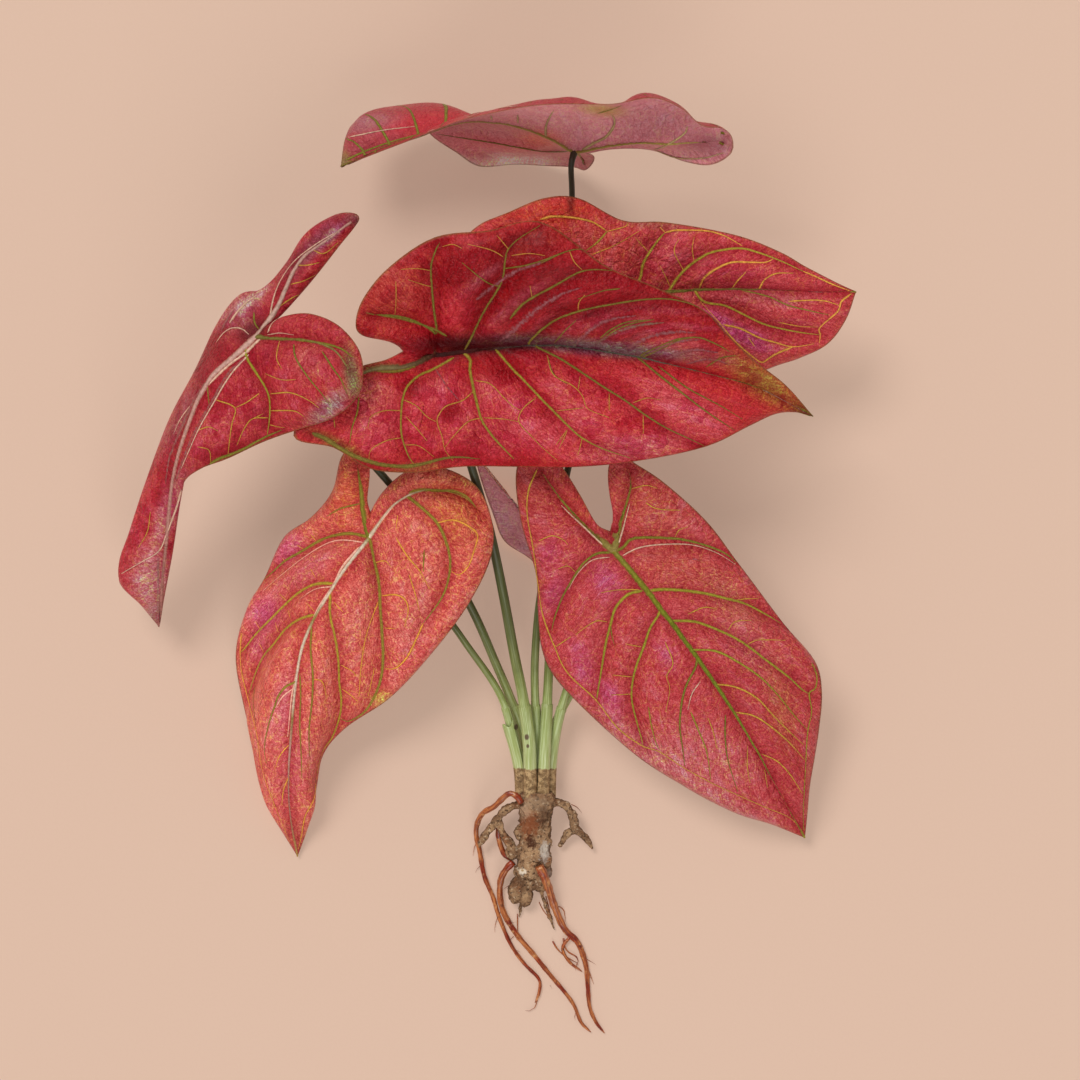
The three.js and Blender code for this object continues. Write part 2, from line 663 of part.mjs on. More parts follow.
// A swollen sheath at the foot, a lip where it ends, and a long taper up to the blade.
function stalkRadius([foot, neck, top], length) {
  const lip = neck * SHEATH_LIP;
  return (share) => {
    const height = share * length;
    if (height < SHEATH_LENGTH) return mix(foot, lip, height / SHEATH_LENGTH);
    const past = clamp((height - SHEATH_LENGTH) / LIP_LENGTH, 0, 1);
    return mix(mix(lip, neck, past), top, (height - SHEATH_LENGTH) / (length - SHEATH_LENGTH));
  };
}

function stalkCurve({ route, radii }, { seat, down }) {
  const knee = seat.clone().addScaledVector(down, STALK_LAST_STRETCH);
  const end = seat.clone().addScaledVector(down, SEAT_GAP + DOME_HEIGHT * radii[2]);
  return smoothCurve([...route.map(point), knee, end]);
}

function makeStalk(stalk, blade) {
  const curve = stalkCurve(stalk, blade);
  const length = curve.getLength();
  const steps = Math.round(length / STALK_STEP);
  return tube(curve, stalkRadius(stalk.radii, length), { steps, sides: STALK_SIDES });
}

// What is left of an older leaf's sheath: a curved wall round the outer side of a stalk, torn off at the top.
function makeTornSheath(stalk, blade) {
  const curve = stalkCurve(stalk, blade);
  const length = curve.getLength();
  const radiusAt = stalkRadius(stalk.radii, length);
  const { height, from, to, wall, edgeShare, topShare, flare, easing, tear, rows, columns } = TORN_SHEATH;
  const inner = [];
  const outer = [];
  for (let i = 0; i <= rows; i++) {
    for (let j = 0; j <= columns; j++) {
      const across = j / columns;
      const top = 1 - tear.slope * across - tear.waveHeight * Math.sin(tear.wave * across);
      const rise = top * i / rows;
      const share = rise * height / length;
      const along = curve.getTangentAt(share);
      const left = new THREE.Vector3(-1, 0, 0).addScaledVector(along, along.x).normalize();
      const under = new THREE.Vector3().crossVectors(left, along);
      const angle = mix(from, to, across);
      const outward = left.multiplyScalar(Math.cos(angle)).addScaledVector(under, Math.sin(angle));
      const clear = radiusAt(share) * easing + SEAT_GAP + flare * rise * rise;
      const thick = wall * mix(edgeShare, 1, Math.sin(Math.PI * across)) * mix(1, topShare, rise);
      const centre = curve.getPointAt(share);
      inner.push(centre.clone().addScaledVector(outward, clear));
      outer.push(centre.clone().addScaledVector(outward, clear + thick));
    }
  }
  const triangles = [];
  for (let i = 0; i < rows; i++) {
    for (let j = 0; j < columns; j++) {
      const a = i * (columns + 1) + j;
      const b = a + columns + 1;
      triangles.push([a, a + 1, b + 1], [a, b + 1, b]);
    }
  }
  const below = inner.length;
  const closed = [
    ...triangles.map(([a, b, c]) => [a + below, c + below, b + below]),
    ...triangles,
    ...openEdges(triangles).flatMap(([a, b]) => [[b, a, a + below], [b, a + below, b + below]]),
  ];
  return geometryOf([...inner, ...outer], closed);
}

// ---- Rhizome and roots

function rootTube({ route, radii }) {
  const curve = smoothCurve(route.map(point));
  const steps = Math.max(ROOT_FEWEST_STEPS, Math.round(curve.getLength() / ROOT_STEP));
  return tube(curve, (share) => mix(radii[0], radii[1], share), { steps, sides: ROOT_SIDES });
}

function lump({ at, size, turn = 0 }) {
  const geometry = new THREE.SphereGeometry(1, ...LUMP_SEGMENTS);
  geometry.scale(...size);
  geometry.rotateZ(turn);
  geometry.translate(...at);
  return geometry;
}

// The rhizome's own body, then its knobs, buds and stout brown roots. The surface that it rests on gives it a
// flat spot underneath, and it ends square at the crown, where the stalks stand on it.
function makeRhizome() {
  const { crown, axis, radii, steps, sides, rings, lumps, knobs, stoutRoots } = RHIZOME;
  const curve = smoothCurve(axis.map(point));
  const widths = new THREE.SplineCurve(radii.map(([share, radius]) => new THREE.Vector2(share, radius)));
  const radiusAt = (share) => widths.getPoint(share).y;
  const body = tube(curve, (share, angle) => {
    const ringed = rings.height * Math.sin(share * rings.count * FULL_TURN);
    const lumpy = lumps.reduce((sum, { height, round, along }) => (
      sum + height * Math.sin(round * angle + along * share)
    ), 0);
    return radiusAt(share) + ringed + lumpy * Math.min(1, rings.count * share);
  }, { steps, sides });
  const pieces = [body, ...knobs.map(lump), ...budsOn(curve, radiusAt), ...stoutRoots.map(rootTube)];
  const whole = joined(pieces.map(solidOf));
  return geometryOfSolid(whole.subtract(blockBelow(0)).subtract(blockBeyond(crown)));
}

function budsOn(curve, radiusAt) {
  const { count, from, to, radius, variation, flatness, sunk } = RHIZOME.buds;
  return Array.from({ length: count }, (_, i) => {
    const share = mix(from, to, i / count);
    const angle = i * GOLDEN_ANGLE;
    const centre = curve.getPointAt(share);
    const reach = radiusAt(share) - sunk;
    const size = radius * (1 + variation * Math.sin(angle));
    return lump({
      at: [centre.x + reach * Math.cos(angle), centre.y, centre.z + reach * Math.sin(angle)],
      size: [size, size * flatness, size],
    });
  });
}

// Blocks larger than the plant, to cut with: all below a height, and all from a plane across Y onwards.
function blockBelow(height) {
  const block = new THREE.BoxGeometry(BLOCK, BLOCK, BLOCK).translate(0, 0, height - BLOCK / 2);
  return solidOf(block);
}

function blockBeyond(y) {
  const block = new THREE.BoxGeometry(BLOCK, BLOCK, BLOCK).translate(0, y + BLOCK / 2, 0);
  return solidOf(block);
}

function makeRoot({ route, radii, branches = [] }) {
  const pieces = [{ route, radii }, ...branches].map((root) => solidOf(rootTube(root)));
  return geometryOfSolid(joined(pieces));
}

// ---- The plant

const finish = (color, roughness) => () => new THREE.MeshStandardMaterial({ color, roughness, metalness: 0 });
const sheathGreen = finish(0x929f66, 0.5);
const soilBrown = finish(0x84583a, 0.9);
const rootOrange = finish(0x9a4f26, 0.6);
const stalkGreen = finish(0x5d6338, 0.45);

const plant = new THREE.Group();

function addPiece(name, geometry, material) {
  const mesh = new THREE.Mesh(geometry, material);
  mesh.name = name;
  plant.add(mesh);
}

for (const [place, shape] of Object.entries(LEAVES)) {
  const blade = makeBlade(shape);
  addPiece(`leaf_${place}`, blade.geometry, finish(shape.color, 0.4)());
  addPiece(`stalk_${place}`, makeStalk(STALKS[place], blade), stalkGreen());
  if (place === TORN_SHEATH.beside) {
    addPiece('torn_sheath', makeTornSheath(STALKS[place], blade), sheathGreen());
  }
}
addPiece('rhizome', makeRhizome(), soilBrown());
for (const [name, root] of Object.entries(ROOTS)) addPiece(name, makeRoot(root), rootOrange());

export default plant;
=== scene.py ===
"""A caladium lifted from its pot and laid on its back: red leaves, their stalks, the rhizome and the roots.

The tables are in millimetres, the meshes in metres. +Y runs from the roots to the leaves, and Z = 0 is the
surface that the plant lies on. Colours are written as in a paint program.
"""

import math
from contextlib import contextmanager

import bpy
import numpy as np
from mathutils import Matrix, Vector
from mathutils.bvhtree import BVHTree
from mathutils.kdtree import KDTree


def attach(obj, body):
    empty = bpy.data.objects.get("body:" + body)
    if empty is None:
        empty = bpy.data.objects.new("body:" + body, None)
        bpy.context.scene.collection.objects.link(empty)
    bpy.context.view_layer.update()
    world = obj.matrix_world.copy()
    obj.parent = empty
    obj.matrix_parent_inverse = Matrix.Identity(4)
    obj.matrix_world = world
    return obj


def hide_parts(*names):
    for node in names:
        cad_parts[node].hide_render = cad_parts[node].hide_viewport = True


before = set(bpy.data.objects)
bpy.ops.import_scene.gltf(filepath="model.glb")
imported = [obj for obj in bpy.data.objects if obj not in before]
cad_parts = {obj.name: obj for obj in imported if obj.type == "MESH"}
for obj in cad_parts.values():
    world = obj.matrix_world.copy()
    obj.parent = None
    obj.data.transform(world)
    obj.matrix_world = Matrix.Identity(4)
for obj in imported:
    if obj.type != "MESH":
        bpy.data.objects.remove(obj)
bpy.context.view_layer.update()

MM = 0.001
EYE = np.array([28.0, 17.75, 2600.0])  # the camera, straight above the plant
PLAN_HEIGHT = 60.0  # veins and tints are laid out on a plan at this height, as the camera sees them
VIEW_WIDTH = 540.0  # what the camera takes in at that height
SENSOR_WIDTH = 36.0
CURVE_SAMPLES = 800

# ---- Floor and light

FARTHEST_SEEN = 20.0  # in metres, as the floor's size is
FLOOR_SIZE = 8.0
TABLE_COLORS = (0xDCBBA6, 0xDEBEA9)
TABLE_GRAIN = (700, 2)
TABLE_BUMP = (0.00005, 0.3)
TABLE_GLOW = 0.43  # how much of the table's brightness comes through it, as in a light table
ROOM_COLOR = 0xFFFBF7
FILL_LOW = 0.86  # how bright the room is all round at floor level
FILL_HIGH = 0.15  # and straight above
GLOSS_DARK = 0.12  # how bright the room is in reflections, beside its window
GLOSS_WINDOW = 3.0
WINDOW_TOWARDS = (-0.35, 0.85, 0.5)
WINDOW_EDGE = (0.8, 0.97)  # how nearly a reflection faces it, where it starts and is full
SUNS = [  # name, where it shines from, power, spread in degrees, share in highlights
    ("key_window", (-0.42, 0.56, 1.0), 1.65, 24.0, 0.04),
    ("front_window", (0.12, -0.85, 0.8), 1.0, 36.0, 0.04),
]

# ---- The blades' shape, the same as the solids'

HALF_THICKNESS = 0.35
EDGE_HALF_THICKNESS = 0.16
THINNING = 4.0  # the blade thins to its edge over this width
CAMBER = 0.07
VEIN_SWEEP = 0.13
BOW_STARTS = 0.125
BOW_ENDS = 0.1
ROWS_PER_VEIN = 6
COLUMNS = 40
CLOSEST_ROWS = 0.004  # rows nearer than this share of a rib are one
SEAT_GAP = 0.3
SINUS_FADE = 0.1
WELD = 1e-4

# ---- The swelling between the veins

QUILT_HEIGHT = 4.0
QUILT_WIDTH = 6.5
QUILT_RIM = 6.0  # it fades to the rim over this width
RUFFLE_HEIGHT = 0.75
RUFFLE_WIDTH = 2.4
# how near the main veins the painted shade of the valleys reaches
VALLEY_SHADE_WIDTH = 3.4
# over what distance from the main veins the painted sheen of the ridges comes in
RIDGE_SHEEN_WIDTH = 6.0
MAIN_VEIN = 1.25  # veins at least this wide lie in deep valleys
MARKS_PER_KNOT = 8
EASED_NORMALS = 8  # rounds
EASED_POINTS = 3

# ---- Ribs and veins

RIB_WIDTHS = [(4.1, 1.5), (3.2, 1.1), (3.2, 1.1)]  # of the midrib and the lobes' veins, at both ends
RIB_MARKS = 160
RIB_STEP = 1.5
RIB_RISE = 0.45
RIB_RISE_LOST = 0.6  # share of it that is gone at the end
RIB_DROP = 1.2  # how far a rib stands out below
RIB_DROP_LOST = 0.8
RIB_SWELL = 1.1  # how much wider it is below
VEIN_RISE = 0.3
VEIN_DROP = 0.55
VEIN_NARROWER = 0.8  # below
VEIN_SUNK = -0.05  # how far a vein's edges go into the blade, or stand clear of it
VEIN_STEP = 1.3
VEIN_FEWEST = 4  # spots
VEIN_JUMP = 9.0  # between two spots, where the blade's fold hides what lies between
VEIN_THINNEST = 0.2
VEIN_WIDER = 1.3  # than in the table, with the soft edges of the finish
WIDER = {"pale": 1.0, "mauve": 1.5, "stone": 1.5, "umber": 2.2}  # the same for these inks
TAPER_ROUND = 0.75  # how blunt a vein's end is
TAPER_START = 2  # spots over which it widens
TAPER_LEAST = 0.1
SIDE_VEIN_WIDTH = 2.0  # of the veins laid from the ribs to the margin, where the camera sees the other face
SIDE_VEIN_THINS = 0.7
SIDE_VEIN_END = 4  # columns short of the margin
RIDGE_SHEEN_SHARE = 0.3  # how strongly a stroke of painted sheen shows
RIM_FAR = 50.0
JOIN_NEAR = 0.8  # how near a rib a vein starts without being led to it
JOIN_FAR = 9.0  # and how far from it, where it still is
JOIN_BACK = 0.8  # how far back along the rib it is led from
JOIN_TURN = 0.6
PROFILE = np.array([-1, -0.55, 0, 0.55, 1])
WIDE_PROFILE = np.array([-1, -0.75, -0.4, 0, 0.4, 0.75, 1])

# ---- Stalks, rhizome and roots

ROUTE_POINTS = 200
STALK_SIDES = 20
STALK_KNEE = 8.0
STALK_SUNK = 0.1
STALK_STEP = 3.5
STALK_END = (4.0, 3.0, 1.0, 0.0)  # how far short of its end the even rings stop, and the last rings are
SHEATH_LENGTH = 48.0
SHEATH_STEP = 3.0
SHEATH_LIP = 1.22
LIP_RINGS = (-0.3, 0.0, 0.25)
LIP_CLEAR = 2.0
LIP_LENGTH = 6.0
LIP_EDGE = 0.86  # how much slimmer the stalk comes out of its sheath's lip
KNOT_SWELL = 0.35
KNOT_LENGTH = 8.0
SHEATH_ROWS = 30
SHEATH_COLUMNS = 14
SHEATH_GRAIN = (0.4, 1.0)  # how far apart its columns and rows are in its stripes
WALL_OUTWARD = 0.8
ROOT_SIDES = 12
ROOT_STEP = 1.6
ROOT_KNOTS = 0.12
ROOT_KNOT_WAVES = (0.9, 0.31)
ROOT_TIP = 4.0
ROOT_TIP_RADII = (0.75, 0.3)  # shares of its last radius, half way along the tip and at its point
HAIR_SIDES = 6
HAIR_HEIGHT = 0.6
HAIR_THINS = 0.6
BUD_TURN = 2.4
KNOB_SIDES = 20
RHIZOME_RINGS = 24
RHIZOME_SIDES = 28
RHIZOME_VOXEL = 0.5
ROUGHNESS = [("clods", 7.0, 2.2), ("crumbs", 2.2, 1.1), ("grit", 0.9, 0.5)]  # name, size and height

# ---- Finish of the blades: factors of red, green and blue, and the textures' marks. In all finishes a noise
# is its scale, detail and roughness, and an edge is where a mark starts and where it is full.

DEEP, CRIMSON, PALE = (0.68, 0.28, 0.4, 1), (0.78, 0.2, 0.5, 1), (1.1, 1.7, 1.6, 1)
# the mauve factors are painted sheen, laid on the ridges between the main veins
GILT, MAUVE_SHEEN = (1.05, 2.6, 0.8, 1), (1.05, 1.8, 2.2, 1)
LEAF_FINISHES = {  # how strong all marks are, and the blotches among them
    "plain": (1.0, 0.12), "blotched": (1.0, 0.7), "quiet": (0.4, 0.0),
}
WARP_NOISE = (160, 3)
WARP = (0.006, 0.006, 0.006)
LEAF_NOISE = {
    "mottle": (75, 4, 0.65), "grain": (1400, 2, 0.6), "wear": (600, 3, 0.7), "pores": (1500, 3, 0.6),
}
LEAF_FLOW = {  # scale along the ribs and along the side veins, and detail
    "bands": ((2.4, 0.09, 1), 3), "lines": ((18, 0.3, 1), 3), "threads": ((20, 0.12, 1), 2),
}
FLOW_ROUGHNESS = 0.6
LEAF_CELLS = {"net": 560.0, "loops": 210.0}
BLOTCH_CELLS = {"Scale": 120.0, "Smoothness": 0.1}
BLOTCH_EDGE = (0.66, 0.72)
MOTTLED_EDGE = (0.38, 0.5)
LEAF_LAYERS = [  # texture, where its marks start and are full, strength, factors, and what else they keep to
    ("mottle", 0.52, 0.66, 0.22, DEEP),
    ("mottle", 0.48, 0.34, 0.18, PALE),
    ("bands", 0.50, 0.62, 0.30, DEEP),
    # mauve bands on the ridges between the main veins: painted sheen
    ("bands", 0.50, 0.36, 0.45, MAUVE_SHEEN, "ridge"),
    ("lines", 0.50, 0.60, 0.60, DEEP),
    ("lines", 0.48, 0.38, 0.60, PALE),
    ("threads", 0.60, 0.65, 0.20, GILT),
    ("grain", 0.51, 0.60, 0.50, DEEP),
    ("grain", 0.46, 0.39, 0.45, PALE),
    ("net", 0.14, 0.02, 0.65, DEEP),
    ("loops", 0.06, 0.02, 0.50, GILT, "mottled"),
]
# painted shade in the valleys by the main veins, partly the deeper red that the leaf has there
VALLEY_SHADE_STRENGTH = 0.8
# painted shade at the edges of a vein and painted light along its middle, which make it look round
VEIN_SHADED_EDGE, VEIN_LIT_MIDDLE, VEIN_WORN = (0.78, 0.58, 0.45, 1), (1.2, 1.17, 1.05, 1), (0.75, 0.72, 0.7, 1)
VEIN_SHADING = (0.2, 0.9)  # where a vein goes from its edge's colour, painted shade, to its middle's, painted light
VEIN_WEAR = (0.35, 0.65)
VEIN_RAGGED = 0.45
VEIN_SHOWS = (0.02, 0.4)
VEIN_LIMIT = (0.0, 0.05)
RIM_COLOR = 0x8A6238
RIM_STRENGTH = 0.6
RIM_EDGE = (0.9, 0.1)
LEAF_RELIEF = {"net": 0.5, "pores": 0.3, "lines": 1.1, "loops": 1.3}
PUCKER_EDGE = 0.4  # how far from its edge a cell stops swelling
LEAF_BUMP = (0.0006, 0.8)  # a bump's height in metres, and its strength

# ---- Finishes of the stalks, rhizome and roots

STALK_RAMP = (-100.0, 100.0)
STALK_COLORS = [
    (-100, 0xD4DCAC), (-80, 0xC8D4A0), (-62, 0xB4BE84), (-48, 0x8E9460), (-25, 0x6C7048), (20, 0x5A5C40),
    (100, 0x46443A),
]
STALK_NOISE = (160, 2)
STALK_WANDER = 7.0
STALK_GRAIN = (2200, 2200, 60)  # scale across, across and along
STALK_LINES = (0.35, 0.75)
STALK_LINE_COLOR = 0xC4C89A
LINE_RELIEF = 0.6
STALK_BUMP = (0.0002, 0.6)
CLEAN_ROUGHNESS, SOILED_ROUGHNESS = 0.42, 0.85
SOIL_LINE = -99.0
SOIL_EDGE = 0.8
SOIL_EDGE_NOISE = (420, 3)
SOIL_WANDER = 2.0
SOIL_COVER = 0.93
SOIL_NOISE = (420, 5, 0.7)
SOIL_EDGES = (0.4, 0.62)
SOIL_TONES = (0x7A5636, 0xC09C70)
GRAIN_NOISE = (700, 4, 0.65)
GRAIN_EDGES = (0.56, 0.66)
GRAIN_STRENGTH = 0.8
GRAIN_COLOR = 0x4A3020
GRAIN_RELIEF = 0.8
SCARS = [(15.8, -77.5, 1.4), (21.3, -82.2, 1.5), (21.8, -86.8, 1.0)]  # place and size
SCAR_SHAPE = 0.75
SCAR_STRENGTH = 0.9
SCAR_COLOR = 0x5A3E30
RHIZOME_NOISE = (150, 5, 0.7)
RHIZOME_EDGES = (0.34, 0.66)
RHIZOME_TONES = (0x7C5A40, 0xB8926C)
RHIZOME_LOW_SHADE = (0.75, 0.1, 0.0, 0.7)  # painted shade where the skin faces sideways or down: how far up the skin faces, and how dark it is there
RHIZOME_SHADE_COLOR = 0x6A5442
RHIZOME_CRUMBS = (700, 4, 0.7)
RHIZOME_BUMP = 0.001
ROOT_GRAIN = (1500, 1500, 90)
ROOT_LINES = (0.35, 0.7)
ROOT_TONES = (0x863C1C, 0xCC7C42)
BLUSH_NOISE = (70, 3, 0.6)
BLUSH_EDGES = (0.46, 0.6)
BLUSH_COLOR = 0xD08468
WRINKLES = (900, 2)
WRINKLE_RELIEF = 0.5
ROOT_BUMP = (0.00025, 0.7)
# Speckles: their noise, their edge, strength and colour
SOIL_SPECKLES = [
    (130, 4, 0.65, 0.54, 0.70, 0.50, 0x9C5A32),
    (650, 4, 0.65, 0.56, 0.66, 0.65, 0xDCC4A4),
    (620, 4, 0.65, 0.52, 0.64, 0.85, 0x3E281C),
]
ROOT_SPECKLES = [(240, 3, 0.6, 0.58, 0.7, 0.6, 0xDCA064), (420, 3, 0.6, 0.6, 0.7, 0.6, 0x4E2414)]
STAIN_EDGE = (1.1, 0.5)
STAIN_NOISE = (480, 5, 0.8)
STAIN_RAGGED = 1.6
SOIL_STAINS = [  # middle, half width and half length, strength and colour
    (22.5, -127, 5.5, 9, 0.75, 0x8A4624), (23.5, -136, 3, 4, 0.85, 0x4A2616),
    (20, -120, 4, 5, 0.6, 0xC8A484), (30, -122, 3, 6, 0.6, 0x5E4230),
    (30.5, -141, 2.8, 6, 0.75, 0xDCD2C4), (26, -116, 8, 4, 0.4, 0xA48A70),
    (19, -151, 2.3, 1.9, 0.95, 0xF0E0C8), (19, -150.5, 0.9, 0.8, 0.8, 0xB08850),
    (16, -157, 3.5, 5, 0.5, 0x6A4A34), (33, -153, 3, 4, 0.5, 0xB49C90),
]

# ---- Colours of the blades. A patch is its middle on the plan, half length and half width, turn in degrees,
# strength and colour. A rib has its colours at shares of its length, the midrib first.

# pale, mauve and stone are the colours of painted highlights and sheen
INKS = {
    "olive": 0x8C8834, "lime": 0xACA43A, "gold": 0xDEB04C, "umber": 0xCCB888,
    "pale": 0xEEC8B8, "mauve": 0xB88890, "stone": 0xA69C84,
}
SOFT_SHEEN_INKS = ("mauve", "stone")
HIGHLIGHT_INKS = ("pale", *SOFT_SHEEN_INKS)  # painted highlights and sheen on ribs and ridges, the pale partly the pale colour of the ribs, where the others are of veins
UNDER_GAIN = (1.0, 0.85, 0.9)  # how much of their red, green and blue the undersides keep
PATCH_EDGE = 1.4  # the higher, the sharper
# some patches and rib colours are painted light and shade; they are named at each leaf
LOOKS = {}
LOOKS["lower_right"] = {
    "slot": "leaf_rose", "main": 0xCC4C52, "gain": (1.08, 1.15, 1.04), "rib_shares": (1, 1.7, 1.7),
    "under": 0xB86C6E, "rib_under": 0xA88C78,
    "ribs": [
        [(0, 0x8C8830), (0.3, 0x7C8824), (0.8, 0x909830), (1, 0xA89C40)],
        [(0, 0x9A8A50), (0.4, 0x8C8A34), (1, 0x98903C)],
        [(0, 0x9A8A50), (0.4, 0x8C8A34), (1, 0x98903C)],
    ],
    "patches": [
        # the dark red patches by the stalk at (67, 19) and (54, 19), and the thin dark strips beside the
        # veins at (76, -3), (90, -22), (93, 12) and (124, -60), are painted shade
        (26, 46, 20, 16, 90, 0.7, 0xB44440), (47, 36, 12, 8, 120, 0.6, 0xC24036),
        (82, 36, 24, 12, 140, 0.7, 0xC05448), (93, 4, 20, 12, 160, 0.6, 0xC8584C),
        (122, -12, 20, 8, 130, 0.6, 0xD07464), (132, -36, 18, 8, 130, 0.6, 0xDA7076),
        (121, -50, 16, 5, 155, 0.6, 0xB82C3A), (150, -88, 24, 9, 115, 0.6, 0xBC303C),
        (100, -60, 22, 7, 125, 0.5, 0xC03842), (33, 11, 8, 5, 80, 0.7, 0xC84C70),
        (35, -9, 9, 5, 70, 0.75, 0xCC5078), (49, -44, 12, 6, 100, 0.7, 0xD0547A),
        (61, -3, 10, 7, 120, 0.7, 0xCA507A), (63, -61, 9, 5, 110, 0.7, 0xCC5486),
        (91, -40, 9, 5, 120, 0.6, 0xCC5476), (67, 19, 7, 6, 90, 0.6, 0x8E201E),
        (54, 19, 10, 4, 145, 0.65, 0x96262A), (76, -3, 10, 3, 125, 0.5, 0xA42C34),
        (90, -22, 9, 3, 125, 0.45, 0xA42C34), (93, 12, 24, 3, 5, 0.4, 0xA83438),
        (124, -60, 20, 3.5, 140, 0.5, 0xA82C36), (60, -70, 14, 6, 142, 0.5, 0xD06874),
        (86, -90, 26, 8, 150, 0.7, 0xDC8088), (118, -114, 30, 7, 155, 0.6, 0xD87C84),
        (112, -88, 26, 12, 150, 0.55, 0xDC7880), (148, -64, 22, 6, 100, 0.35, 0xCC7C54),
    ],
}
LOOKS["lower_left"] = {
    "slot": "leaf_coral", "main": 0xDC6256, "gain": (1.24, 1.46, 1.42), "ink_gain": (1.45, 1.2, 1.25),
    "rib_shares": (0.55, 0.8, 1.3), "under": 0xC08078, "rib_under": 0xA88C78,
    # the white in the colours of the midrib and the first lobe vein is painted highlight, partly the pale
    # colour of the ribs
    "ribs": [
        [
            (0, 0xA09440), (0.03, 0xF4E4D4), (0.22, 0xF0D8C4), (0.26, 0xA89444), (0.32, 0xF4E0D0),
            (0.52, 0xF0D4C4), (0.56, 0xA88C50), (0.64, 0xD8A8A0), (0.85, 0xB88078), (1, 0xC09850),
        ],
        [(0, 0xF0DCC8), (0.42, 0xE4C8B0), (0.55, 0xA8A048), (1, 0xB0A450)],
        [(0, 0x8A8A30), (1, 0xA8983C)],
    ],
    "patches": [
        (-68, 42, 18, 11, 100, 0.75, 0xD85C3C), (-14, 36, 22, 16, 110, 0.75, 0xCC603C),
        (-30, 48, 16, 8, 20, 0.5, 0xD86850), (-66, -18, 20, 9, 80, 0.5, 0xE07468),
        (-36, -30, 20, 9, 75, 0.5, 0xE07870), (-34, -40, 12, 8, 50, 0.5, 0xD44048),
        (-52, -62, 5, 4, 20, 0.85, 0xE0BC64), (-60, -74, 14, 7, 60, 0.5, 0xE47462),
        (-98, 13, 9, 6, 50, 0.75, 0xD65A80), (-109, -19, 9, 8, 70, 0.75, 0xD45884),
        (-113, -34, 9, 5, 90, 0.6, 0xD45A7C), (-88, 2, 16, 6, 35, 0.5, 0xD25C70),
        (-69, 0, 16, 7, 70, 0.5, 0xD44C40), (-101, -66, 20, 5, 80, 0.6, 0xDC7680),
        (-96, -98, 22, 9, 80, 0.5, 0xD0646E), (-96, -132, 12, 8, 90, 0.6, 0xC05C50),
        (-56, 4, 12, 3, 92, 0.5, 0xA83A38), (-62, 8, 9, 3, 60, 0.4, 0xB04440),
        (-44, 12, 14, 5, 75, 0.35, 0xC04440),
    ],
}
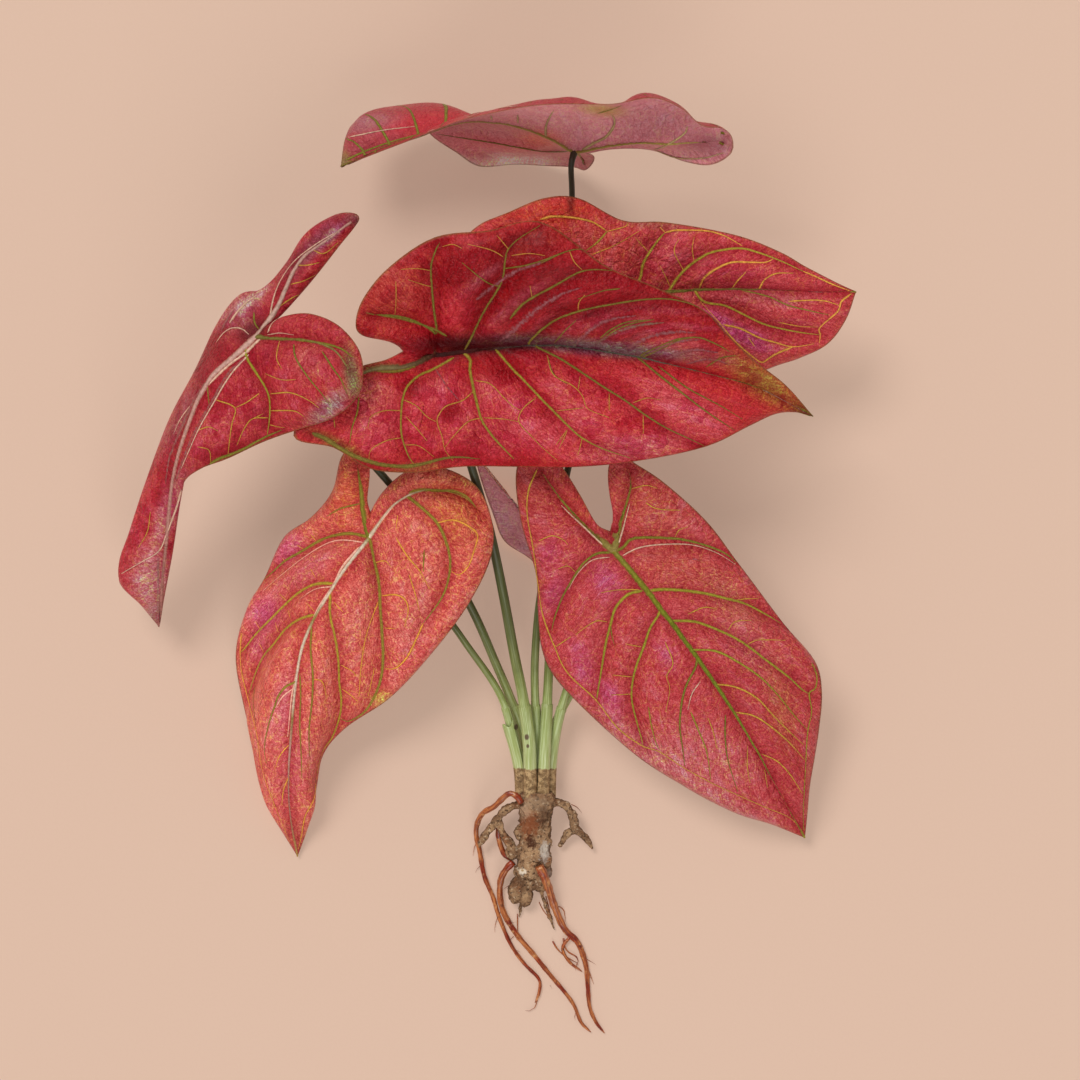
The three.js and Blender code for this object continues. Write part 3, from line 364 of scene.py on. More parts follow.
LOOKS["center"] = {
    "slot": "leaf_crimson", "finish": "blotched", "main": 0xCC383C, "gain": (1.05, 0.74, 0.8),
    "ink_gain": (0.95, 0.8, 1), "rib_shares": (1.25, 1.3, 1.5), "under": 0xB46466, "rib_under": 0xA08078,
    # the midrib's grey in the middle of its length is painted sheen
    "ribs": [
        [
            (0, 0x3A1210), (0.14, 0x541C1A), (0.24, 0x6A6C64), (0.62, 0x70766A), (0.78, 0x7A7C38),
            (1, 0x8C8A38),
        ],
        [(0, 0x5A2018), (0.3, 0x7C7C30), (1, 0x8C8A38)],
        [(0, 0x4A1614), (0.3, 0x8A7C58), (1, 0x9A8E50)],
    ],
    "patches": [
        # the dark crimson patches over the upper half, at (30, 142), (12, 152), (40, 134) and (88, 134), are
        # partly painted shade and partly the leaf's deep crimson
        (30, 142, 80, 30, -8, 0.9, 0x90081A), (-48, 142, 26, 16, 60, 0.8, 0xBC4C3E),
        (-14, 132, 12, 9, 50, 0.7, 0xD2424A), (12, 152, 26, 16, 25, 0.8, 0x960C18),
        (22, 166, 18, 8, 15, 0.7, 0x983028), (40, 134, 34, 10, 25, 0.6, 0xA81C26),
        # the thin pale mauve streaks at (0, 150), (14, 134), (70, 124), (92, 116), (26, 123), (42, 124),
        # (56, 126), (22, 142), (62, 131.5), (96, 132), (84, 122) and (106, 124) are painted highlights on
        # the pleats
        (88, 134, 24, 8, -20, 0.6, 0xA8202A), (0, 150, 12, 2.5, 35, 0.4, 0xB86C74),
        (14, 134, 18, 2.6, 38, 0.45, 0xBC646C), (70, 124, 14, 3, 25, 0.5, 0xC0686E),
        (92, 116, 14, 3, 10, 0.6, 0xC4686A), (118, 110, 18, 7, -20, 0.6, 0xB04A42),
        (26, 123, 12, 2.2, 46, 0.6, 0xC4606C), (42, 124, 9, 1.8, 42, 0.55, 0xC0586A),
        (56, 126, 10, 1.8, 28, 0.55, 0xC4606C), (22, 142, 12, 1.8, 32, 0.5, 0xB85062),
        (62, 131.5, 16, 1.8, 12, 0.45, 0xB85062), (96, 132, 16, 1.8, -4, 0.5, 0xB85062),
        (84, 122, 10, 1.6, 18, 0.6, 0xC4646E), (106, 124, 12, 1.6, -6, 0.6, 0xC4646E),
        # the thin dark streaks at (34, 129), (50, 129), (78, 134) and (74, 119) are painted shade below the
        # pleats' crests
        (34, 129, 13, 1.5, 42, 0.7, 0x6E0616), (50, 129, 10, 1.3, 30, 0.6, 0x6E0616),
        (78, 134, 18, 1.5, 6, 0.5, 0x780A1A), (74, 119, 9, 1.2, 30, 0.6, 0x6A1A20),
        (140, 96, 19, 7, -35, 0.85, 0xA8963C), (160, 82, 8, 5, -35, 0.7, 0x8C8A38),
        # the near-black patches at (-14, 115) and (14, 116.5) are painted shade in the midrib's valley by
        # the stalk, and the grey band at (62, 113.5) is painted sheen along the midrib
        (-14, 115, 26, 6, 0, 0.95, 0x3C0A0E), (14, 116.5, 26, 5, 4, 0.9, 0x4A1014),
        (-28, 110, 10, 5, 20, 0.6, 0x8A181E), (62, 113.5, 46, 4.2, -5, 0.95, 0x848E86),
        (-18, 80, 62, 18, 6, 0.55, 0xD85864), (-56, 76, 12, 14, 0, 0.45, 0xDC6E74),
        (-54, 91, 10, 6, 0, 0.45, 0xE88C80), (-22, 94, 9, 8, 0, 0.45, 0xDC7070),
        (1, 93, 6, 7, 0, 0.5, 0xE08080), (-10, 78, 5, 4, 0, 0.4, 0xE48878),
        (18, 83, 10, 7, -40, 0.5, 0xDC7078), (38, 92, 9, 5, -40, 0.5, 0xDC7878),
        (50, 78, 14, 6, -30, 0.5, 0xE07C80), (-36, 93, 5, 6, 0, 0.8, 0xA8101E),
        (-28, 74, 5, 9, 0, 0.6, 0xB41826), (-18, 81, 7, 4.5, 35, 0.9, 0xA00C1C),
        (-6, 69, 3.4, 4.4, 0, 0.9, 0xA8101E), (11, 75, 5, 3.2, -35, 0.95, 0xA8101E),
        (6, 103, 12, 6, -25, 0.85, 0xA80C1C), (25, 104, 10, 5, -25, 0.75, 0xAC101E),
        (33, 80, 5, 3.6, -20, 0.8, 0xAC1424), (-68, 78, 8, 5, 40, 0.7, 0xC01C24),
        (76, 64, 26, 7, 8, 0.75, 0xDC888A), (98, 84, 26, 9, -28, 0.6, 0xE4787C),
        (24, 70, 34, 9, 0, 0.4, 0xE07078), (-60, 88, 10, 12, 0, 0.5, 0xE47C74),
        (60, 88, 40, 9, -25, 0.4, 0xD85C62), (-72, 65, 16, 3, -28, 0.7, 0x96963A),
        (-34, 54, 14, 2.6, 8, 0.7, 0xA08C40), (-54, 104, 11, 2.6, 5, 0.7, 0x7C7A44),
    ],
}
LOOKS["upper_right"] = {
    "slot": "leaf_scarlet", "main": 0xC04046, "gain": (1.36, 1.52, 1.42), "ink_gain": (1.35, 1.2, 1.4),
    "under": 0xB05C5E, "rib_under": 0xA08078,
    "ribs": [[(0, 0x908C44), (1, 0x9A9040)]] * 3,
    "patches": [
        (32, 180, 30, 9, 8, 0.85, 0xC03424), (60, 166, 20, 10, -20, 0.7, 0xC84A42),
        # the dark strip at (43.5, 188) is the painted shadow of the top leaf's stalk, which runs under this
        # edge
        (84, 176, 18, 3, -8, 0.6, 0x9A5C4C), (43.5, 188, 9, 1.9, 88, 0.9, 0x6A2418),
        (90, 160, 14, 8, 20, 0.5, 0xCE505E), (122, 152, 20, 6, -20, 0.7, 0xAC283E),
        (100, 142, 12, 6, -10, 0.5, 0xCC665C), (142, 139, 24, 5, -4, 0.65, 0xA85256),
        (118, 126, 11, 5, -30, 0.85, 0xC0487C), (134, 118, 10, 4.5, -30, 0.8, 0xC0487E),
        (152, 124, 16, 6, 20, 0.5, 0xB43846), (146, 106, 14, 5, 15, 0.6, 0xBC403E),
    ],
}
LOOKS["left"] = {
    "slot": "leaf_crimson", "finish": "blotched", "main": 0xC03840, "gain": (1.08, 1.12, 1.12),
    "under": 0xA85E62, "rib_under": 0xA08078,
    # the pale pinks of the midrib and of the right lobe's vein are painted highlight
    "ribs": [
        [(0, 0xD8B0AC), (0.5, 0xCC9894), (1, 0xB0706C)],
        [(0, 0x80783C), (0.4, 0x8A8440), (1, 0x9A8C58)],
        [(0, 0xD8B8B0), (1, 0xC0908C)],
    ],
    "patches": [
        # the mauve and pale streaks at (-86, 164), (-76, 170) and (-116, 138), and the grey-green and grey
        # patches at (-66, 100) and (-78, 84), are painted sheen
        (-86, 164, 22, 5, 48, 0.85, 0x9C585C), (-76, 170, 10, 2.2, 45, 0.8, 0xC8ACB4),
        (-82, 154, 20, 5, 50, 0.6, 0xC84840), (-64, 178, 5, 4, 0, 0.8, 0x8C5656),
        (-122, 132, 14, 7, 45, 0.8, 0xC0787A), (-116, 138, 10, 2.2, 35, 0.7, 0xDCB0AA),
        (-116, 122, 9, 6, 30, 0.85, 0x5C1418), (-136, 112, 16, 6, 52, 0.7, 0x961C28),
        (-108, 112, 12, 7, 40, 0.5, 0xA8242E), (-88, 107, 6, 8, 0, 0.6, 0xD47468),
        (-66, 100, 14, 4, 100, 0.8, 0x7E8458), (-78, 84, 12, 5, 40, 0.75, 0xA88C84),
        (-138, 72, 14, 7, 40, 0.5, 0xD2545C), (-118, 60, 18, 3, 22, 0.8, 0x949040),
        (-152, 78, 22, 4, 62, 0.5, 0xA0666A), (-170, 34, 26, 5, 68, 0.6, 0xC43440),
        # the pale pinks at the tip, (-165, -2), (-158, 32) and (-164, -20), are painted glare
        (-165, -2, 14, 10, 90, 0.8, 0xDC9A9A), (-158, 32, 20, 5, 72, 0.75, 0xDC9498),
        (-164, -20, 8, 5, 100, 0.8, 0xBC908A),
    ],
}
LOOKS["top"] = {
    "slot": "leaf_mauve", "finish": "quiet", "main": 0xB84044, "gain": (0.95, 1.05, 1.15), "under": 0xD68A92,
    "under_gain": (1.32, 1.36, 1.34), "rib_under": 0xB8A85C, "side_veins": "olive",
    "ribs": [[(0, 0x9A8A40)]] * 3,
    "patches": [
        (-28, 226, 32, 6, 6, 0.9, 0xCE343C), (-58, 226, 14, 5, 10, 0.7, 0xB87476),
        (-66, 213, 10, 4, 20, 0.7, 0xC05458), (-70, 206, 4, 6, 0, 0.85, 0x94844A),
    ],
    "under_patches": [
        (28, 218, 12, 5, 0, 0.85, 0xE88070), (6, 216, 24, 4, -8, 0.7, 0xE67A84),
        # the near-white streak at (10, 207) is a painted highlight
        (10, 207, 28, 3.6, 0, 0.9, 0xFFE4DC), (-8, 212, 14, 4, -20, 0.6, 0xE87E84),
        (60, 233, 12, 3, -6, 0.85, 0xBCA058), (88, 226, 24, 12, -12, 0.6, 0xA8646A),
        (110, 215, 16, 8, -10, 0.85, 0x9C5C60), (92, 213, 16, 4, -8, 0.5, 0xD48A8C),
        (44, 209, 6, 5, 0, 0.6, 0xE498A0),
    ],
}
LOOKS["under"] = {
    "slot": "leaf_pale", "finish": "quiet", "main": 0xF2C0BC, "gain": (2.1, 2.1, 1.6), "under": 0xF0B4B8,
    "rib_under": 0xE0C4BC,
    "ribs": [[(0, 0xC8A8A0)]] * 3,
    "patches": [
        # the near-white patches at (10, 28) and (-4, 42) are painted highlights
        (10, 28, 16, 5, 110, 0.7, 0xFCE4E0), (-4, 42, 7, 16, 20, 0.7, 0xFFECE8),
        (14, 48, 16, 8, 110, 0.3, 0xECA0A0), (6, 45, 11, 1.6, -43, 0.85, 0x9C2430),
    ],
}

# ---- Forms. A margin's last number is where on the ribs the vein to it starts: -1 is the lobe's end, 0 the
# stalk and 1 the tip. A knob is its middle, half sizes and turn. A vein is its ink, width and points.

LEAVES = {}
LEAVES["lower_right"] = {
    "midrib": [(65, 12, 66), (81, -7, 70), (108, -43, 64), (133, -81, 46), (163, -134, 10)],
    "sinus": (63, 22, 66), "left_lobe": [(68, 26, 68), (73, 44, 72), (72, 55, 75)],
    "right_lobe": [(50, 26, 66), (38, 39, 70), (28, 53, 74)],
    "left_margin": [
        (65, 32, 69, -0.22), (62, 47, 72, -0.6), (63, 57, 76, -0.92), (68, 61, 78, -1), (75, 56, 77, -0.93),
        (90, 46, 73, -0.62), (111, 27, 67, -0.25), (128, 5, 60, 0.02), (150, -24, 52, 0.13),
        (166, -43, 46, 0.2), (170, -59, 40, 0.26), (169, -78, 31, 0.36), (167, -93, 26, 0.47),
        (165, -107, 20, 0.59), (164, -122, 14, 0.76),
    ],
    "right_margin": [
        (56, 26, 68, -0.18), (48, 40, 71, -0.5), (39, 54, 75, -0.8), (31, 62, 77, -0.95), (25, 65, 77, -1),
        (18, 58, 74, -0.93), (16, 46, 71, -0.72), (19, 25, 65, -0.42), (26, 1, 56, -0.16),
        (27, -18, 49, -0.02), (29, -37, 44, 0.02), (36, -52, 38, 0.07), (55, -72, 33, 0.13),
        (79, -93, 27, 0.22), (101, -107, 23, 0.38), (115, -115, 20, 0.46), (130, -122, 17, 0.56),
        (146, -127, 13, 0.72),
    ],
}
LEAVES["lower_left"] = {
    "rests": True,
    "midrib": [
        (-57, 19, 70), (-74, -4, 72), (-91, -37, 62), (-98, -88, 38), (-99, -117, 20), (-96, -144, 5),
    ],
    "sinus": (-57, 31, 68), "left_lobe": [(-44, 36, 73), (-27, 43, 76), (-10, 39, 73), (-1, 29, 68)],
    "right_lobe": [(-60, 32, 70), (-61, 44, 72), (-63, 57, 73)],
    "left_margin": [
        (-50, 42, 71, -0.2), (-38, 52, 75, -0.42), (-22, 54, 78, -0.62), (-4, 45, 74, -0.84),
        (4, 27, 67, -1), (3, 8, 61, -0.6), (-9, -16, 54, -0.3), (-28, -41, 46, -0.1), (-48, -62, 39, 0.01),
        (-70, -77, 32, 0.15), (-82, -91, 24, 0.3), (-86, -109, 16, 0.48), (-90, -127, 9, 0.75),
    ],
    "right_margin": [
        (-59, 42, 70, -0.35), (-57, 57, 73, -0.8), (-63, 66, 74, -1), (-71, 59, 70, -0.9),
        (-76, 42, 60, -0.55), (-87, 29, 52, -0.22), (-101, 19, 43, -0.04), (-111, -1, 33, 0.01),
        (-121, -18, 24, 0.07), (-127, -41, 14, 0.14), (-123, -68, 8, 0.26), (-116, -95, 5, 0.45),
        (-110, -120, 3, 0.7),
    ],
}
LEAVES["center"] = {
    "midrib": [
        (-24, 109, 104), (8, 113, 104), (38, 114, 106), (77, 108, 107), (107, 101, 105), (136, 93, 100),
        (163, 79, 88),
    ],
    "sinus": (-38, 111, 106),
    "left_lobe": [(-22, 118, 108), (-35, 126, 114), (-47, 128, 117), (-57, 128, 118)],
    "right_lobe": [(-38, 103, 107), (-55, 101, 109), (-72, 91, 110), (-87, 74, 108)],
    "left_margin": [
        (-46, 115, 111, -0.45), (-59, 118, 115, -0.85), (-62, 124, 118, -1), (-58, 136, 121, -0.82),
        (-45, 151, 126, -0.52), (-23, 165, 130, -0.22), (3, 168, 133, -0.05), (29, 172, 134, 0.08),
        (60, 151, 132, 0.16), (84, 141, 128, 0.2), (108, 130, 120, 0.26), (120, 118, 115, 0.42),
        (133, 106, 107, 0.56), (149, 94, 98, 0.76),
    ],
    "right_margin": [
        (-48, 106, 108, -0.3), (-62, 102, 111, -0.5), (-79, 91, 111, -0.74), (-93, 69, 107, -1),
        (-73, 63, 103, -0.72), (-56, 53, 99, -0.38), (-34, 51, 96, -0.03), (-10, 54, 94, 0.03),
        (18, 54, 92, 0.09), (47, 54, 91, 0.12), (77, 57, 91, 0.17), (110, 64, 91, 0.28), (131, 74, 90, 0.42),
        (144, 80, 90, 0.58), (154, 81, 89, 0.82),
    ],
}
LEAVES["upper_right"] = {
    "midrib": [(58, 137, 72), (98, 142, 75), (137, 143, 72), (168, 142, 66), (186, 142, 60)],
    "sinus": (47, 141, 72), "left_lobe": [(45, 149, 74), (30, 162, 77), (11, 169, 79)],
    "right_lobe": [(49, 128, 69), (47, 115, 64), (45, 104, 61)],
    "left_margin": [
        (34, 147, 74, -0.3), (14, 152, 76, -0.65), (-2, 158, 78, -0.92), (-9, 166, 79, -1),
        (-2, 174, 81, -0.85), (12, 180, 82, -0.68), (30, 187, 84, -0.4), (47, 187, 84, -0.18),
        (69, 176, 84, 0.02), (91, 175, 84, 0.13), (125, 169, 80, 0.29), (147, 161, 76, 0.42),
        (160, 154, 71, 0.52), (174, 147, 67, 0.66),
    ],
    "right_margin": [
        (44, 130, 70, -0.3), (38, 115, 66, -0.7), (37, 100, 61, -1), (48, 90, 58, -0.8), (69, 86, 56, -0.3),
        (94, 87, 55, 0), (114, 91, 54, 0.1), (132, 99, 54, 0.2), (146, 105, 54, 0.3), (158, 109, 54, 0.42),
        (172, 116, 55, 0.58), (181, 128, 57, 0.78),
    ],
}
LEAVES["left"] = {
    "midrib": [
        (-111, 117, 112), (-122, 107, 110), (-135, 95, 104), (-145, 74, 94), (-153, 50, 80), (-158, 20, 62),
        (-162, -5, 44), (-165, -26, 28),
    ],
    "sinus": (-104, 123, 113),
    "left_lobe": [(-99, 116, 118), (-85, 115, 124), (-72, 110, 128), (-64, 100, 130)],
    "right_lobe": [(-101, 131, 109), (-90, 154, 106), (-75, 166, 103), (-65, 174, 101)],
    "left_margin": [
        (-97, 127, 118, -0.2), (-84, 128, 123, -0.5), (-70, 122, 128, -0.75), (-60, 110, 130, -0.92),
        (-58, 97, 130, -1), (-62, 86, 126, -0.85), (-74, 77, 120, -0.6), (-90, 72, 112, -0.25),
        (-108, 66, 102, 0.05), (-126, 58, 93, 0.14), (-140, 53, 86, 0.24), (-149, 46, 78, 0.36),
        (-152, 32, 69, 0.5), (-156, 12, 55, 0.66), (-161, -9, 40, 0.84),
    ],
    "right_margin": [
        (-98, 129, 108, -0.15), (-85, 144, 105, -0.4), (-71, 162, 102, -0.75), (-61, 176, 99, -1),
        (-69, 179, 96, -0.95), (-80, 174, 94, -0.75), (-92, 160, 91, -0.5), (-106, 143, 88, -0.18),
        (-119, 138, 85, 0), (-131, 121, 80, 0.08), (-142, 98, 73, 0.2), (-155, 74, 63, 0.36),
        (-167, 44, 50, 0.54), (-177, 19, 38, 0.68), (-185, -2, 30, 0.8), (-175, -14, 27, 0.9),
    ],
}
LEAVES["top"] = {
    "rests": True,
    "midrib": [
        (45, 211, 66), (30, 219, 68), (11, 225, 68), (-9, 226, 66), (-28, 221, 62), (-52, 213, 56),
        (-72, 205, 50),
    ],
    "sinus": (51, 211, 60), "left_lobe": [(58, 213, 72), (76, 214, 84), (93, 213, 96), (109, 213, 104)],
    "right_lobe": [(48, 211, 42), (50, 208, 24)],
    "left_margin": [
        (65, 213, 64, -0.25), (83, 212, 71, -0.45), (101, 205, 83, -0.7), (113, 203, 94, -0.88),
        (122, 208, 104, -1), (122, 215, 112, -0.98), (117, 219, 117, -0.92), (107, 220, 121, -0.8),
        (97, 228, 124, -0.6), (83, 233, 126, -0.4), (63, 230, 127, -0.12), (38, 230, 127, 0.03),
        (21, 229, 124, 0.12), (6, 227, 114, 0.26), (-9, 225, 98, 0.4), (-22, 222, 80, 0.54),
        (-37, 217, 68, 0.68), (-55, 211, 58, 0.84),
    ],
    "right_margin": [
        (55, 211, 44, -0.5), (55, 209, 28, -0.85), (51, 206, 15, -1), (45, 208, 9, -0.6), (32, 209, 4, -0.1),
        (15, 210, 1, 0.03), (-3, 209, 1, 0.12), (-15, 216, 4, 0.26), (-26, 223, 9, 0.4),
        (-36, 232, 15, 0.54), (-51, 232, 23, 0.66), (-65, 229, 33, 0.78), (-70, 220, 42, 0.89),
    ],
}
LEAVES["under"] = {
    "rests": True,
    "midrib": [(61, -33, 24), (43, -3, 22), (20, 30, 16), (-6, 63, 12)],
    "sinus": (68, -43, 22), "left_lobe": [(74, -42, 20), (92, -54, 11)],
    "right_lobe": [(62, -47, 18), (62, -61, 10)],
    "left_margin": [
        (79, -54, 20, -0.4), (95, -67, 12, -0.9), (107, -64, 8, -1), (110, -46, 3, -0.5),
        (102, -23, 1, -0.05), (84, -3, 1, 0.08), (59, 14, 1, 0.25), (36, 25, 4, 0.45), (17, 35, 10, 0.64),
        (6, 47, 14, 0.84),
    ],
    "right_margin": [
        (67, -57, 18, -0.5), (65, -72, 10, -1), (54, -67, 5, -0.8), (44, -51, 2, -0.35), (36, -33, 1, 0),
        (32, -13, 1, 0.08), (25, 6, 1, 0.26), (10, 17, 4, 0.45), (4, 31, 8, 0.66), (-2, 48, 11, 0.85),
    ],
}
STALKS = {  # radii at the foot, above the sheath and below the blade, and the route
    "lower_left": ((3.1, 1.9, 1.4), [
        (19, -113, 12), (18, -98, 12), (14, -80, 14), (10, -66, 19), (4, -54, 25), (-7, -38, 35),
        (-23, -16, 47),
    ]),
    "left": ((3.1, 2.3, 1.6), [
        (22, -113, 6), (22, -98, 5), (19, -80, 6), (13, -63, 12), (6, -46, 21), (-8, -14, 38), (-34, 30, 57),
        (-48, 47, 62), (-65, 66, 67), (-77, 79, 78), (-97, 101, 100),
    ]),
    "center": ((3.4, 2.7, 1.8), [
        (23, -113, 17), (23, -98, 18), (22, -80, 21), (19, -60, 27), (15, -40, 33), (9, -7, 43), (3, 22, 54),
        (-2, 40, 61), (-7, 57, 71), (-15, 84, 87),
    ]),
    "upper_right": ((3.1, 2.1, 1.5), [
        (26, -113, 11.5), (26.3, -98, 11.5), (26.5, -80, 14), (25.5, -62, 20), (25.5, -41, 27),
        (28, -12, 34), (34, 18, 41), (41, 49, 46), (48, 80, 51), (54, 108, 57),
    ]),
    "top": ((3.1, 2.4, 1.4), [
        (29.5, -113, 16.5), (30, -98, 17.3), (31, -80, 19), (32, -58, 22), (33, -36, 24), (34.5, -6, 29),
        (36, 33, 34), (38, 56, 38), (41, 98, 44), (43, 138, 50), (44, 169, 55), (44, 192, 59),
    ]),
    "lower_right": ((3.1, 2.1, 1.5), [
        (33, -113, 11.5), (33.6, -98, 11.4), (36, -80, 15), (41, -60, 24), (48, -40, 34), (57, -16, 46),
    ]),
    "under": ((3.1, 1.8, 1.4), [
        (29.5, -113, 6), (29.8, -98, 5.2), (34, -80, 7), (42, -64, 15), (52, -48, 25), (60, -38, 31),
    ]),
}
TORN_SHEATH = {
    "beside": "lower_left", "height": 42, "from": -2.1, "to": 1.2, "wall": 1.2, "flare": 1.6,
    "easing": 1.06,  # of the radius of the stalk inside it
    "slope": 0.22, "wave_height": 0.06, "wave": 9,  # of the torn edge
}
RHIZOME = {
    "axis": [
        (26.6, -110, 12), (26, -118, 10.8), (25.5, -125, 8.4), (25.5, -136, 7.4), (24.5, -145, 7.6),
        (21.5, -154, 7),
    ],
    "radii": [(0, 8.2), (0.05, 9.6), (0.12, 9.6), (0.3, 8.1), (0.55, 7.9), (0.75, 8.7), (1, 6)],
    "knobs": [  # middle, half sizes and turn
        ((16.6, -160.5, 6), (4.6, 8, 4.8), -0.25), ((20.6, -164.5, 5.4), (3.9, 5.6, 4), -0.1),
        ((27.5, -156, 6.2), (4.6, 6.4, 4.4), 0.4), ((30.5, -144.5, 8.6), (3.8, 7, 4.2), 0.1),
        ((13.5, -142, 8.5), (3.6, 3.4, 3), 0), ((19, -151, 8.4), (4.6, 4.4, 4.2), 0),
        ((24, -157, 6.5), (4.4, 4.2, 4), 0.3), ((31.5, -151, 6), (2.6, 3.4, 3.2), 0.2),
        ((17.5, -131, 10), (2.6, 4, 3), 0),
    ],
    "buds": {
        "count": 14, "from": 0.12, "to": 0.95, "radius": 1.7, "variation": 0.3, "flatness": 0.8, "sunk": 0.5,
    },
    "stout_roots": [
        ((2.5, 1.8), [
            (22, -117, 12), (13, -118, 13), (6.5, -124, 12), (0.5, -132, 9.5), (-3.5, -139.5, 7.6),
        ]),
        ((1.9, 2.1), [(6.5, -124, 12), (9, -131, 10), (13.5, -138.5, 9), (18, -142, 9)]),
        ((2.4, 1.8), [
            (29, -118, 10), (38, -116.5, 11.5), (43.5, -121, 10), (46.5, -129.5, 7.5), (51, -134, 5.6),
            (55, -140, 4),
        ]),
        ((1.9, 1.8), [(46.5, -129.5, 7.5), (41.5, -133, 5.6), (38, -139, 3.8)]),
        ((1.8, 0.7), [(30, -132, 9.5), (33, -136, 8.5), (34.8, -139.5, 7.6)]),
        ((0.9, 0.6), [(20, -164, 3), (18.2, -170, 2), (17.4, -176, 1.2)]),
        ((1.2, 0.6), [(28, -160, 5), (31.5, -171, 3), (35.5, -182, 1.6)]),
    ],
}
ROOTS = {  # the root and its branches: radii at both ends, and the route
    "root_left": [
        ((1.6, 0.8), [
            (18.4, -115.8, 19.2), (16.2, -112.4, 20.2), (12.4, -111, 19.4), (8.6, -114, 17.6),
            (4.5, -118, 14.5), (-1, -121.4, 10), (-4, -127, 6), (-4.6, -133, 3), (-3, -140.5, 2),
            (-0.5, -154, 1.6), (4, -165, 1.6), (7, -175, 1.5), (13, -189, 1.4), (20, -199, 1.3),
            (27.5, -207, 1.2), (27.5, -214, 1.2), (25.5, -219, 1.2),
        ]),
    ],
    "root_middle": [
        ((1.8, 0.8), [
            (14.4, -146.6, 8.6), (11, -150, 7.6), (8, -156, 4.5), (7.6, -165, 2.4), (10, -174, 1.8),
            (16.5, -184.5, 1.5), (24.5, -194, 1.4), (33, -204.5, 1.3), (41, -214, 1.2), (45.5, -220.5, 1.2),
            (49, -229, 1.1), (54, -234, 1.1),
        ]),
    ],
    "root_right": [
        ((2.3, 0.8), [
            (27.6, -148.2, 17.2), (30.2, -153.6, 15.2), (32.8, -161, 9.8), (35.6, -170, 4.8),
            (40.5, -181, 2.2), (47.5, -188.5, 1.8), (51.5, -200, 1.5), (52.5, -211, 1.3),
            (53.5, -221.5, 1.2), (57, -229.5, 1.1), (61, -234.5, 1.1),
        ]),
        ((0.9, 0.7), [(43.5, -185, 2), (39.5, -191, 1.6), (43, -198, 1.3), (49.5, -203, 1.1)]),
    ],
    "root_loop": [
        ((1.3, 1.5), [(6.6, -128.6, 8), (7, -135, 5.4), (9.4, -142, 4.6), (13.6, -146.2, 4.4)]),
    ],
}
HAIR_ROOTS = [  # radius and route, on the surface
    (0.35, 36.5, -170, 38.5, -170, 40.5, -172.5, 41, -177.5),
    (0.5, 34.5, -187.5, 36.5, -191, 40, -194.5, 44, -197, 47, -198.5),
    (0.55, 40, -186, 40.5, -190, 42.5, -193, 46, -195, 47.5, -197, 47, -199.5),
    (0.3, 47, -198.5, 46, -202.5), (0.4, 16.5, -173.5, 16.5, -178.5, 16.5, -182.5, 16, -187),
    (0.25, 8.3, -171.5, 6.3, -175.5, 5, -179.5, 4.8, -183), (0.25, 51, -196.5, 53.5, -197.5, 56.5, -199.5),
    (0.35, 52.5, -201.5, 53.5, -204, 54.5, -207, 55.5, -209.5),
    (0.3, 54.5, -206, 52.5, -206.5, 51.5, -205.5), (0.3, 20, -188.5, 22.5, -190, 23.5, -193, 24, -194.5),
    (0.35, 28, -212.5, 27, -216.5, 25.5, -221, 23.5, -223, 20.5, -223), (0.22, 27, -216, 25.5, -218.5),
    (0.25, -2.5, -149, -4.5, -151, -5, -152.5), (0.25, 13, -158.5, 10.5, -160, 9, -161.5),
    (0.2, 12, -177.5, 14.5, -178, 16, -177.5), (0.2, 13, -191, 15.5, -192, 18, -193),
    (0.3, 27.5, -167.5, 29.5, -171.5, 32.5, -175.5, 35, -180),
    (0.35, 31, -164.5, 32.5, -170, 33.5, -175, 34, -177.5),
    (0.3, -1.2, -135, -3.8, -136.5, -5.6, -139.5, -6.3, -144), (0.25, 44, -117.5, 47, -119, 49.5, -122),
    (0.3, 32.5, -137.5, 33.5, -139, 34, -141), (0.25, 46.5, -223.5, 45.5, -227, 46, -228),
    (0.25, 33, -210, 34, -211.5), (0.3, 10, -141, 12.5, -141.5, 14.5, -143.5),
    (0.25, 14.5, -185, 12.5, -187, 12, -189),
]
